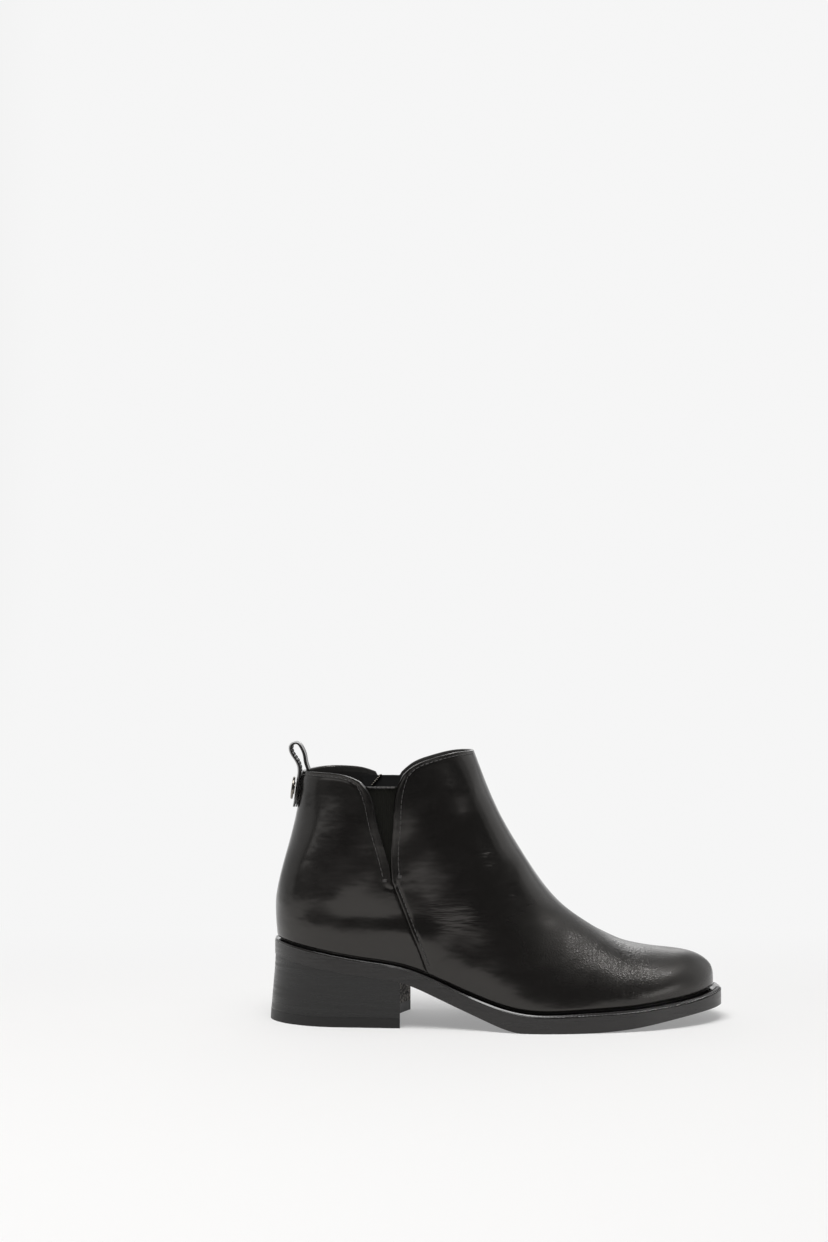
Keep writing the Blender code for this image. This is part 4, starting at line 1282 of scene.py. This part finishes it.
class BOOT_OT_thread(bpy.types.Operator):
    """Sews the collar, the V, the zip slot and the side seams"""

    bl_idname = "boot.thread"
    bl_label = "Thread"

    def execute(self, context):
        sizes = context.scene.boot_sizes
        pitch, long, thread = (value / MM for value in (sizes.stitch_pitch, sizes.stitch, sizes.thread))
        rows = []
        for side in SIDES:
            for part in EDGES:
                x, z = inset_line(side, part)
                rows.append(stitches(*on_leather(x, z, side, part), pitch, long, thread))
            low, top = FEATHER(SEAM_FOOT) + SEAM_CLEAR_LOW, SEAM[side][-1][1] - SEAM_CLEAR_TOP
            z = np.linspace(low, top, SEAM_SAMPLES)
            x = seam_x(z, side) + SEAM_STITCH * seam_stretch(z, side)
            rows.append(stitches(*on_leather(x, z, side, "panel"), pitch, long, thread))
        for x, z, part in TACKS:
            for line in bar_tack(x, z, "outer", part):
                rows.append(stitches(*line, TACK_LONG, TACK_LONG * TACK_FILL, thread))
        data = thread_mesh("upper_thread", rows, thread)
        piece(data, (wear(context, waxed_thread),))
        return {"FINISHED"}


def closed(outer, inner):
    """A plan ring from its outer and its inner chain."""
    return np.concatenate([outer, inner[-2:0:-1]])


def outline(distance, count=STATIONS):
    """The upper's foot line moved out by a distance, as an outer and an inner chain from back to toe."""
    share = (1 - np.cos(np.linspace(0, math.pi, count + 1))) / 2
    x = BACK[0][0] + (INSTEP[0][0] - BACK[0][0]) * share
    chains = []
    for side in SIDES:
        width = half_width(x, FEATHER(x), side)
        width[[0, -1]] = 0
        chains.append(np.stack([x, CENTRE(x) + SIDES[side] * width], axis=-1))
    ring = closed(*chains)
    out = aside(np.roll(ring, -1, axis=0) - np.roll(ring, 1, axis=0))
    ring = ring + out * np.broadcast_to(distance(ring[:, 0]), len(ring))[:, None]
    inner_chain = np.concatenate([ring[:1], ring[: count - 1 : -1]])
    return ring[: count + 1], inner_chain


def raised(flat, height):
    """Plan points given their height."""
    return np.concatenate([flat, height(flat[..., 0])[..., None]], axis=-1)


def crossed(outer, inner, hollow=0.0):
    """Plan points across from the outer chain to the inner one, hollowed towards the last row."""
    share = np.linspace(0, 1, ACROSS + 1)[None, :, None]
    rows = (1 - share) * outer[:, None] + share * inner[:, None]
    front = np.linspace(0, 1, len(outer))[:, None] ** HOLLOW_POWER
    rows[..., 0] -= hollow * front * (1 - (2 * share[..., 0] - 1) ** 2)
    return rows


def stack(name, levels):
    """A solid between level faces, each a grid of points from back to front."""
    borders = [np.concatenate([g[:, 0], g[-1, 1:], g[-2::-1, -1], g[0, -2::-1]]) for g in levels]
    return mesh_of(name, [levels[0], levels[-1], np.stack(borders)])


def welt_foot(x):
    return FEATHER(x) - GAP - WELT_THICK


def welt_line(distance):
    """The welt's plan ring at a distance outside the upper's foot line."""
    return closed(*outline(distance, WELT_STATIONS))


def welt_ring(context):
    """The welt: a groove beside the upper, a rounded rail, and wheel marks that deepen towards the toe."""
    ring = welt_line(lambda x: 0 * x)
    wheel = np.cos(2 * math.pi * run_of(ring) * MM / context.scene.boot_sizes.wheel)
    toe = smooth_step(WHEEL_FROM, WHEEL_FULL, ring[:, 0])
    mark = toe * WHEEL_DEEP * (1 + wheel) / 2
    rows = []
    for rail in WELT_PROFILE:
        flat = welt_line(lambda x: OVERHANG(x) * rail.out)
        rise = TOE_RISE * toe * (RAIL_FROM < rail.out < RAIL_TO)
        rise = rise - mark * (RAIL_FROM < rail.out < BEVEL_TO)
        rows.append(raised(flat, lambda x: FEATHER(x) - GAP - rail.drop + rise))
    flat = welt_line(lambda x: -WELT_INSET + 0 * x)
    for drop in (WELT_THICK, WELT_BACK):
        rows.append(raised(flat, lambda x: FEATHER(x) - GAP - drop))
    rows.append(rows[0])
    rows = [np.concatenate([row, row[:1]]) for row in rows]
    return mesh_of("welt", [np.stack(rows)], sharp=WELT_SHARP)


class BOOT_OT_sole(bpy.types.Operator):
    """Makes the welt, the outsole and the insole"""

    bl_idname = "boot.sole"
    bl_label = "Sole"

    def execute(self, context):
        piece(welt_ring(context), (wear(context, waxed_welt),), replaced=("welt",))
        edge = (wear(context, burnished_edge),)
        plan = crossed(*outline(lambda x: OVERHANG(x) - SEAT_GAP))
        face = raised(plan, lambda x: welt_foot(x) - SEAT_GAP)
        solid = stack("outsole", [face, raised(plan, under)])
        bevel(piece(solid, edge, replaced=("outsole",)), SEAT_GAP, 1)
        plan = crossed(*outline(lambda x: -INSOLE_INSET + 0 * x))
        top = raised(plan, lambda x: FEATHER(x) + INSOLE_RISE)
        solid = stack("insole", [top, raised(plan, welt_foot)])
        sock = (wear(context, lining_leather),)
        bevel(piece(solid, sock, replaced=("insole",)), SOCK_ROUND)
        return {"FINISHED"}


def heel_plan(back, narrowing):
    """The sole's outline behind the breast, moved and narrowed for a level of the heel."""
    chains = []
    share = graded(HEEL_STATIONS, FIRST_STATION)
    for chain, breast in zip(outline(OVERHANG), (BREAST_OUTER, BREAST_INNER)):
        x = chain[0, 0] + (breast - chain[0, 0]) * share
        y = np.interp(x, chain[:, 0], chain[:, 1])
        y = CENTRE(x) + (y - CENTRE(x)) * (1 - (1 - HEEL_SCALE_Y) * narrowing)
        chains.append(np.stack([back + (breast - back) * share, y], axis=-1))
    chains[1][0] = chains[0][0]
    return crossed(*chains, hollow=BREAST_HOLLOW)


class BOOT_OT_heel(bpy.types.Operator):
    """Makes the stacked heel and its top piece"""

    bl_idname = "boot.heel"
    bl_label = "Heel"

    def execute(self, context):
        floor = HEEL_LIFT + SEAT_GAP
        levels = []
        for drop in np.linspace(0, 1, HEEL_LEVELS + 1):
            plan = heel_plan(column(HEEL, "back")(drop), column(HEEL, "narrowing")(drop))
            levels.append(raised(plan, lambda x: (1 - drop) * (under(x) - SEAT_GAP) + drop * floor))
        block = stack("heel_block", levels)
        breast = [int(face.normal.x > FACES_TOE) for face in block.polygons]
        block.polygons.foreach_set("material_index", breast)
        stuff = (wear(context, stacked_leather), wear(context, sanded_leather))
        bevel(piece(block, stuff, replaced=("heel_block",)), SEAT_GAP, 1)
        levels = []
        for row in LIFT:
            plan = heel_plan(row.back, row.narrowing)
            levels.append(raised(plan, lambda x: HEEL_LIFT * (1 - row.drop) + 0 * x))
        lift = stack("heel_top_piece", levels)
        rubber = (wear(context, moulded_rubber),)
        bevel(piece(lift, rubber, replaced=("heel_top_piece",)), LIFT_ROUND)
        return {"FINISHED"}


def cloth(name, side, left, right, span, thick, counts, proud):
    """A cloth sheet that follows the last behind the wall, its face raised by a function of x and z."""
    rows, columns = counts
    z = np.linspace(*span, rows + 1)[:, None]
    share = np.linspace(0, 1, columns + 1)[None]
    x = (1 - share) * left(z) + share * right(z)
    z = np.broadcast_to(z, x.shape)
    face, normal = face_frame(x, z, side)
    front = face - (CLOTH_DEPTH - proud(x, z))[..., None] * normal
    return stack(name, [front, face - (CLOTH_DEPTH + thick) * normal])


def edge_at(side, edge):
    points = path(edge[side])(EVEN)
    return lambda z: np.interp(z, points[:, 1], points[:, 0])


class BOOT_OT_elastic(bpy.types.Operator):
    """Makes the ribbed elastic behind the V"""

    bl_idname = "boot.elastic"
    bl_label = "Elastic"

    def execute(self, context):
        sizes = context.scene.boot_sizes
        left, right = edge_at("outer", QUARTER_EDGE), edge_at("outer", PANEL_EDGE)
        selvedge = GORE_TOP - SELVEDGE_TALL

        def proud(x, z):
            ribs = RIB_RISE * np.abs(np.sin(math.pi * x / (sizes.rib / MM)))
            return ribs + SELVEDGE_RISE * smooth_step(selvedge, selvedge + SELVEDGE_BLEND, z)

        data = cloth(
            "gore",
            "outer",
            lambda z: left(z) - GORE_OVERLAP,
            lambda z: right(z) + GORE_OVERLAP,
            (GORE_LOW, GORE_TOP),
            GORE_THICK,
            GORE_COUNTS,
            proud,
        )
        piece(data, (wear(context, woven_elastic),), replaced=("gore",))
        z = np.full(BINDING_STEPS, GORE_TOP - BINDING_DROP)
        x = np.linspace(left(GORE_TOP) + BINDING_DROP, right(GORE_TOP) - BINDING_DROP, BINDING_STEPS)
        y = face_y(x, z, "outer") + CLOTH_DEPTH - SELVEDGE_RISE
        line = np.stack([x, y, z], axis=-1)
        out = np.broadcast_to((0.0, -1.0, 0.0), line.shape)
        thread = sizes.thread / MM
        rows = [stitches(line, out, BINDING_STITCH, BINDING_STITCH, thread)]
        data = thread_mesh("gore_binding", rows, 2 * thread)
        piece(data, (wear(context, waxed_thread),))
        return {"FINISHED"}


def zip_x(z):
    """The zip's middle line."""
    share = (z - ZIP_FOOT[1]) / (ZIP_TOP[1] - ZIP_FOOT[1])
    return ZIP_FOOT[0] + share * (ZIP_TOP[0] - ZIP_FOOT[0])


def zip_point(z):
    """The point of the last's face on the zip's middle line."""
    x = float(zip_x(z))
    return Vector((x, float(face_y(x, z, "inner")), z))


def zip_up():
    return Vector((ZIP_TOP[0] - ZIP_FOOT[0], 0, ZIP_TOP[1] - ZIP_FOOT[1])).normalized()


def framed(place, across, out, up):
    """A frame at a place with these axes."""
    return Matrix.Translation(place) @ Matrix((across, out, up)).transposed().to_4x4()


def zip_frame(z, off):
    """A frame on the zip's line, off the last's face: X across, Y out of the boot, Z up the zip."""
    up = zip_up()
    slope = (zip_point(z + 1).y - zip_point(z - 1).y) / 2
    up = (up + Vector((0, slope * up.z, 0))).normalized()
    across = Vector((0, 1, 0)).cross(up).normalized()
    out = up.cross(across)
    return framed(zip_point(z) + out * off, across, out, up)


def zip_seat():
    """The slider's frame, as in the solids: X across the zip, Y out of the boot, Z up the zip."""
    out = Vector((0, 1, 0))
    return framed(zip_point(SLIDER_AT), out.cross(zip_up()), out, zip_up())


def rounded_box(size, middle, radius):
    """A box with rounded edges as a bmesh, in millimetres."""
    work = bmesh.new()
    bmesh.ops.create_cube(work, size=1, matrix=Matrix.Translation(middle) @ Matrix.Diagonal((*size, 1)))
    bmesh.ops.bevel(work, geom=work.edges[:], offset=radius, segments=3, profile=0.5, affect="EDGES")
    return work


def tube(outer, inner, length, sides):
    """A short pipe along X as a bmesh, in millimetres; a solid rod where the inner radius is 0."""
    work = bmesh.new()
    turns = np.linspace(0, 2 * math.pi, sides, endpoint=False)
    break_edge = min(PIPE_BREAK, outer / 4)
    rail = [(-length / 2, outer - break_edge), (-length / 2 + break_edge, outer)]
    rail += [(length / 2 - break_edge, outer), (length / 2, outer - break_edge)]
    if inner:
        rail += [(length / 2, inner), (-length / 2, inner)]
    rings = [[work.verts.new((x, r * math.cos(a), r * math.sin(a))) for a in turns] for x, r in rail]
    pairs = list(zip(rings, rings[1:]))
    if inner:
        pairs.append((rings[-1], rings[0]))
    else:
        work.faces.new(rings[0])
        work.faces.new(rings[-1][::-1])
    for one, two in pairs:
        for i in range(sides):
            work.faces.new((one[i], two[i], two[(i + 1) % sides], one[(i + 1) % sides]))
    bmesh.ops.recalc_face_normals(work, faces=work.faces)
    return work


def assembled(name, parts):
    """One mesh from bmesh parts and their frames in millimetres."""
    joined = bmesh.new()
    for work, place in parts:
        spare = bpy.data.meshes.new("spare")
        work.transform(place)
        work.to_mesh(spare)
        work.free()
        joined.from_mesh(spare)
        bpy.data.meshes.remove(spare)
    joined.transform(Matrix.Scale(MM, 4) @ Matrix.Translation((-LENGTH / 2, 0, 0)))
    data = bpy.data.meshes.new(name)
    joined.to_mesh(data)
    joined.free()
    data.shade_smooth()
    data.set_sharp_from_angle(angle=math.radians(METAL_SHARP))
    return data


def tooth(side):
    """One tooth: its jaw clamps the tape's edge and its head reaches past the middle."""
    middle = (side * (TOOTH_LONG / 2 - TOOTH_PAST), 0, 0)
    work = rounded_box((TOOTH_LONG, TOOTH_DEEP, TOOTH_TALL), middle, TOOTH_ROUND)
    for vert in work.verts:
        if vert.co.x * side < HEAD_FROM:
            vert.co.z *= HEAD_SLIM
    return work


def chain_parts(pitch):
    """The zip's teeth, its bottom stop, and the end of the chain that is turned back inside."""
    off = -(CLOTH_DEPTH - GAP - TEETH_THICK / 2)
    for number, z in enumerate(np.arange(TEETH_LOW + CHAIN_CLEAR, TEETH_TOP, pitch / 2)):
        yield tooth(1 if number % 2 else -1), zip_frame(z, off)
    stop = rounded_box((2 * TEETH_HALF, TOOTH_DEEP, STOP_TALL), (0, 0, 0), METAL_ROUND)
    yield stop, zip_frame(TEETH_LOW + STOP_UP, off)
    for x, z in np.linspace(*END_TEETH, END_COUNT):
        y = float(face_y(x, z, "inner")) - CLOTH_DEPTH - TAPE_THICK - END_TOOTH / 3
        yield rounded_box((END_TOOTH, END_TOOTH, END_TALL), (x, y, z), END_ROUND), Matrix()


def slider_parts(seat, hinge):
    """The slider's tapered body, its two ears and the pin between them."""
    middle = SLIDER_PROUD - SLIDER_DEEP / 2
    body = rounded_box((SLIDER_WIDE, SLIDER_DEEP, SLIDER_TALL), (0, middle, 0), SLIDER_ROUND)
    for vert in body.verts:
        vert.co.x *= 1 - SLIDER_TAPER * (0.5 - vert.co.z / SLIDER_TALL)
    yield body, seat
    reach = PIN_HEIGHT + EAR_OVER
    for end in (-1, 1):
        place = (end * (EAR_APART + EAR_WIDE) / 2, SLIDER_PROUD + (reach - SUNK) / 2, PIN_UP)
        yield rounded_box((EAR_WIDE, reach + SUNK, EAR_TALL), place, METAL_ROUND), seat
    yield tube(PIN_RADIUS, 0, EAR_APART + SUNK, PIN_SIDES), hinge


def pull_parts(hinge):
    """The pull's eye round the pin, its neck and its blade."""
    yield tube(EYE_RADIUS, EYE_HOLE, EYE_WIDE, EYE_SIDES), hinge
    yield rounded_box((EYE_WIDE, PULL_THICK, NECK_TALL), (0, 0, -NECK_TALL), METAL_ROUND), hinge
    yield pull_blade(-BLADE_TOP, -PULL_LONG), hinge


def pull_blade(top, low):
    """The pull's plate: straight sides, a round foot, and a long slot through it."""
    work = bmesh.new()
    half = PULL_WIDE / 2
    slot = half * SLOT_SHARE
    turns = np.linspace(0, math.pi, FOOT_STEPS + 1)
    chains = []
    for wide, high in ((half, top), (slot, top - SLOT_DROP)):
        foot = [(wide * math.cos(a), low + half - wide * math.sin(a)) for a in turns]
        chains.append([(wide, high), *foot, (-wide, high)])
    faces = []
    for y in (PULL_THICK / 2, -PULL_THICK / 2):
        faces.append([[work.verts.new((x, y, z)) for x, z in chain] for chain in chains])
    for rim, hole in faces:
        for i in range(len(rim) - 1):
            work.faces.new((rim[i], rim[i + 1], hole[i + 1], hole[i]))
        work.faces.new((rim[0], hole[0], hole[-1], rim[-1]))
    for one, two in zip(*faces):
        for i in range(len(one)):
            j = (i + 1) % len(one)
            work.faces.new((one[i], one[j], two[j], two[i]))
    bmesh.ops.recalc_face_normals(work, faces=work.faces)
    edges = [edge for edge in work.edges if edge.calc_face_angle(0) > math.radians(BLADE_SHARP)]
    bmesh.ops.bevel(work, geom=edges, offset=BLADE_BREAK, segments=2, profile=0.5, affect="EDGES")
    return work


class BOOT_OT_zip(bpy.types.Operator):
    """Makes the zip's tape, teeth, slider and pull"""

    bl_idname = "boot.zip"
    bl_label = "Zip"

    def execute(self, context):
        metal = (wear(context, plated_zinc),)

        def proud(x, z):
            return TAPE_RIDGE * trough(np.abs(x - zip_x(z)) - TEETH_HALF - TAPE_RIDGE_OUT, TAPE_RIDGE_WIDE)

        tape = cloth(
            "zip_tape",
            "inner",
            lambda z: zip_x(z) - TAPE_HALF,
            lambda z: zip_x(z) + TAPE_HALF,
            (TAPE_LOW, ZIP_TOP[1]),
            TAPE_THICK,
            TAPE_COUNTS,
            proud,
        )
        piece(tape, (wear(context, woven_tape),), replaced=("zip_tape",))
        chain = assembled("zip_teeth", chain_parts(context.scene.boot_sizes.tooth / MM))
        piece(chain, metal, replaced=("zip_teeth",))
        seat = zip_seat()
        hinge = seat @ Matrix.Translation((0, SLIDER_PROUD + PIN_HEIGHT, PIN_UP))
        slider = assembled("zip_slider", slider_parts(seat, hinge))
        piece(slider, metal, replaced=("zip_slider",))
        piece(assembled("zip_pull", pull_parts(hinge)), metal, "pull", ("zip_pull",))
        return {"FINISHED"}


def back_bow(y):
    """How far the back of the collar curves forward, at a distance from its middle."""
    wide, depth = SHAFT[-2].outer, SHAFT[-2].back_depth
    return depth * (1 - np.sqrt(1 - (y / wide) ** 2))


def strap_frame(share):
    """The strap's middle line and its normal, at shares of its length."""
    run = path(STRAP)(share + STRAP_NUDGE / 2) - path(STRAP)(share - STRAP_NUDGE / 2)
    return path(STRAP)(share), aside(run)


def banded(name, line, normal, thick, half):
    """A leather band along a side-view line, bowed round the collar, with turned edges and a round end."""
    turns = np.linspace(0, 2 * math.pi, BAND_SIDES + 1)
    across = half * np.sign(np.cos(turns)) * np.abs(np.cos(turns)) ** EDGE_SQUARE
    over = thick / 2 * np.sign(np.sin(turns)) * np.abs(np.sin(turns)) ** FACE_SQUARE
    rings = []
    for place, out in zip(line, normal):
        tail = np.linalg.norm(line[-1] - place)
        side = across * (cap((tail + TAIL_BLUNT) / half) if tail < half else 1.0)
        x = place[0] + out[0] * over + back_bow(side)
        z = place[1] + out[1] * over
        rings.append(np.stack([x, STRAP_Y + side, z], axis=-1))
    ends = [np.broadcast_to(ring.mean(axis=0), ring.shape) for ring in (rings[0], rings[-1])]
    return mesh_of(name, [np.stack([ends[0], *rings, ends[1]])], sharp=BAND_SHARP)


def strap_thread(line, normal, thread):
    """Stitch rows along both edges of the strap, on its outer face."""
    rows = []
    start = int(STRAP_STITCH_FROM * len(line))
    line, normal = line[start:], normal[start:]
    flat = line + normal * STRAP_THICK / 2
    out = np.stack([normal[:, 0], np.zeros(len(flat)), normal[:, 1]], axis=-1)
    for side in (-1, 1):
        y = side * (STRAP_HALF - STRAP_STITCH_IN)
        points = np.stack([flat[:, 0] + back_bow(y), np.full(len(flat), STRAP_Y + y), flat[:, 1]], axis=-1)
        rows.append(stitches(points, out, STRAP_STITCH_PITCH, STRAP_STITCH, thread))
    return rows


def stud_disc():
    """The stud: a turned disc with a raised rim, on the strap's tail."""
    tail, side = strap_frame(np.linspace(TAIL_FROM, 1 - STRAP_NUDGE, LINE_SAMPLES))
    at = int(np.argmin(np.abs(tail[:, 1] - STUD_AT)))
    out = -side[at] if side[at][0] > 0 else side[at]
    seat = tail[at] + out * (STRAP_THICK / 2 + GAP)
    turns = np.linspace(0, 2 * math.pi, STUD_SIDES + 1)
    rings = []
    for row in STUD:
        middle = seat + out * row.height
        rise = row.radius * np.sin(turns)
        x, z = middle[0] + rise * out[1], middle[1] - rise * out[0]
        ring = np.stack([x, STRAP_Y + row.radius * np.cos(turns), z], axis=-1)
        ring[-1] = ring[0]
        rings.append(ring)
    return mesh_of("stud", [np.stack(rings)])


class BOOT_OT_loop(bpy.types.Operator):
    """Makes the pull loop, its back tab and the stud"""

    bl_idname = "boot.loop"
    bl_label = "Pull loop"

    def execute(self, context):
        leather = (wear(context, waxed_calf),)
        line, normal = strap_frame(np.linspace(STRAP_NUDGE, 1 - STRAP_NUDGE, STRAP_STEPS + 1))
        loop = banded("pull_loop", line, normal, STRAP_THICK, STRAP_HALF)
        piece(loop, leather, replaced=("pull_loop",))
        z = np.linspace(TAB_TOP, TAB_LOW, TAB_STEPS)
        flat = np.stack([back_x(z) - GAP - TAB_THICK / 2, z], axis=-1)
        out = np.broadcast_to((-1.0, 0.0), flat.shape)
        tab = banded("back_tab", flat, out, TAB_THICK, STRAP_HALF)
        piece(tab, leather, replaced=("back_tab",))
        thread = context.scene.boot_sizes.thread / MM * STRAP_THREAD
        sewn = thread_mesh("loop_thread", strap_thread(line, -normal, thread), thread)
        piece(sewn, (wear(context, waxed_thread),))
        piece(stud_disc(), (wear(context, plated_zinc),), replaced=("stud",))
        return {"FINISHED"}


def backdrop(name, points, faces, material):
    """A sheet of the stage."""
    data = bpy.data.meshes.new(name)
    data.from_pydata(points, [], faces)
    data.shade_smooth()
    data.materials.append(material)
    made = bpy.data.objects.new(name, data)
    bpy.context.scene.collection.objects.link(made)


def sweep(material):
    """Seamless paper: flat under the boot, bent up behind it."""
    flat_end = PAPER_BACK - PAPER_BEND
    line = [(y, 0.0) for y in np.linspace(PAPER_FRONT, flat_end, PAPER_STEPS)]
    for turn in np.linspace(0, math.pi / 2, BEND_STEPS)[1:]:
        line.append((flat_end + PAPER_BEND * math.sin(turn), PAPER_BEND * (1 - math.cos(turn))))
    line.append((PAPER_BACK, PAPER_TALL))
    points = [(x, y, z) for y, z in line for x in (-PAPER_HALF, PAPER_HALF)]
    faces = [(2 * i, 2 * i + 1, 2 * i + 3, 2 * i + 2) for i in range(len(line) - 1)]
    backdrop("studio_paper", points, faces, material)


def ramp(tree, value, low, high, start=0.0, end=1.0):
    """A smooth rise from start to end as the value goes from low to high."""
    inputs = {"Value": value, "From Min": low, "From Max": high, "To Min": start, "To Max": end}
    return put(tree, "ShaderNodeMapRange", inputs, interpolation_type="SMOOTHSTEP").outputs["Result"]


def seamless_paper(context):
    """White background paper: dead matt, with a painted glow of its own that keeps it bright, full behind
    the boot and paler towards its sides; a share of the glow lies under the boot, where it lifts the boot's
    shadow.
    """
    made, tree = blank("seamless_paper", roughness=0.95, specular_ior_level=0.1)
    shader = shader_of(tree)
    shader.inputs["Base Color"].default_value = context.scene.boot_colours.floor
    spot = put(tree, "ShaderNodeTexCoord").outputs["Object"]
    place = put(tree, "ShaderNodeSeparateXYZ", {"Vector": spot}).outputs
    # Painted glow: the paper emits light, paler to the sides, and a share of it under the boot lightens the
    # boot's shadow
    share = ramp(tree, place["Y"], GLOW_FROM, GLOW_FULL, GLOW_NEAR)
    off_side = put(tree, "ShaderNodeMath", {0: place["X"]}, operation="ABSOLUTE").outputs["Value"]
    painted_glow = ramp(tree, off_side, SIDE_FROM, SIDE_FULL, PAPER_GLOW, SIDE_GLOW)
    glow = put(tree, "ShaderNodeEmission", {"Color": WHITE, "Strength": painted_glow}).outputs["Emission"]
    mixed = put(tree, "ShaderNodeMixShader", {"Fac": share, 1: shader.outputs["BSDF"], 2: glow})
    tree.links.new(mixed.outputs["Shader"], tree.nodes["Material Output"].inputs["Surface"])
    return made


def painted_ground():
    """Grey painted studio ground in front of the paper: matt and a little uneven."""
    made, tree = blank("painted_ground", roughness=0.9)
    tinted(tree, linear(GROUND_GREY), noise(tree, 60, 60, 60), 0.95, 1.05)
    return made


def softbox(lamp):
    """A soft area lamp that points at a place and stays out of the picture."""
    data = bpy.data.lights.new(lamp.name, "AREA")
    data.shape = "RECTANGLE"
    data.size, data.size_y = lamp.wide, lamp.tall
    data.energy = lamp.power
    made = bpy.data.objects.new(lamp.name, data)
    made.location = lamp.place
    made.rotation_euler = (Vector(lamp.aim) - Vector(lamp.place)).to_track_quat("-Z", "Y").to_euler()
    made.visible_camera = False
    made.visible_diffuse = lamp.diffuse
    made.visible_glossy = lamp.glossy
    bpy.context.scene.collection.objects.link(made)


def studio_tent(scene):
    """White cloth behind the boot, paler overhead, and a dim room in front."""
    world = bpy.data.worlds.new("studio_tent")
    world.use_nodes = True
    scene.world = world
    tree = world.node_tree
    way = put(tree, "ShaderNodeTexCoord").outputs["Generated"]
    parts = put(tree, "ShaderNodeSeparateXYZ", {"Vector": way}).outputs
    front, back = (ramp(tree, parts["Z"], TENT_LOW, TENT_HIGH, *light) for light in (TENT_FRONT, TENT_BACK))
    behind = ramp(tree, parts["Y"], 0.0, TENT_EDGE)
    light = put(tree, "ShaderNodeMix", {"Factor": behind, "A": front, "B": back})
    tree.links.new(light.outputs["Result"], tree.nodes["Background"].inputs["Strength"])
    tree.nodes["Background"].inputs["Color"].default_value = WHITE


class BOOT_OT_stage(bpy.types.Operator):
    """Sets up the paper, the lamps and the camera"""

    bl_idname = "boot.stage"
    bl_label = "Stage"

    def execute(self, context):
        scene = context.scene
        sweep(seamless_paper(context))
        corners = [(x, y, GROUND_LEVEL) for x, y in ((-1, -1), (1, -1), (1, 1), (-1, 1))]
        corners = [(x * GROUND_REACH, y * GROUND_REACH, z) for x, y, z in corners]
        backdrop("studio_ground", corners, [(0, 1, 2, 3)], painted_ground())
        for lamp in LAMPS:
            softbox(lamp)
        studio_tent(scene)
        lens = bpy.data.cameras.new("camera")
        lens.sensor_width = SENSOR
        lens.lens = SENSOR * FOCAL_PIXELS / FRAME_TALL
        camera = bpy.data.objects.new("camera", lens)
        camera.location = CAMERA_AT
        camera.rotation_euler = (math.pi / 2, 0, 0)
        scene.collection.objects.link(camera)
        scene.camera = camera
        scene.view_settings.view_transform = "Standard"
        return {"FINISHED"}


class BOOT_PT_looks(bpy.types.Panel):
    """Lists the boot's sizes, colours and pieces"""

    bl_idname = "BOOT_PT_looks"
    bl_label = "Ankle boot"
    bl_space_type = "VIEW_3D"
    bl_region_type = "UI"
    bl_category = "Boot"

    def draw(self, context):
        for group in (context.scene.boot_sizes, context.scene.boot_colours):
            for name in group.__annotations__:
                self.layout.prop(group, name)
        for operator in OPERATORS:
            self.layout.operator(operator.bl_idname)


OPERATORS = (
    BOOT_OT_upper,
    BOOT_OT_thread,
    BOOT_OT_sole,
    BOOT_OT_heel,
    BOOT_OT_elastic,
    BOOT_OT_zip,
    BOOT_OT_loop,
    BOOT_OT_stage,
)
CLASSES = (BootSizes, BootColours, *OPERATORS, BOOT_PT_looks)


def register():
    for kind in CLASSES:
        bpy.utils.register_class(kind)
    bpy.types.Scene.boot_sizes = PointerProperty(type=BootSizes)
    bpy.types.Scene.boot_colours = PointerProperty(type=BootColours)


def unregister():
    del bpy.types.Scene.boot_colours
    del bpy.types.Scene.boot_sizes
    for kind in reversed(CLASSES):
        bpy.utils.unregister_class(kind)


def main():
    register()
    bpy.ops.boot.upper()
    bpy.ops.boot.thread()
    bpy.ops.boot.sole()
    bpy.ops.boot.heel()
    bpy.ops.boot.elastic()
    bpy.ops.boot.zip()
    bpy.ops.boot.loop()
    bpy.ops.boot.stage()


if __name__ == "__main__":
    main()
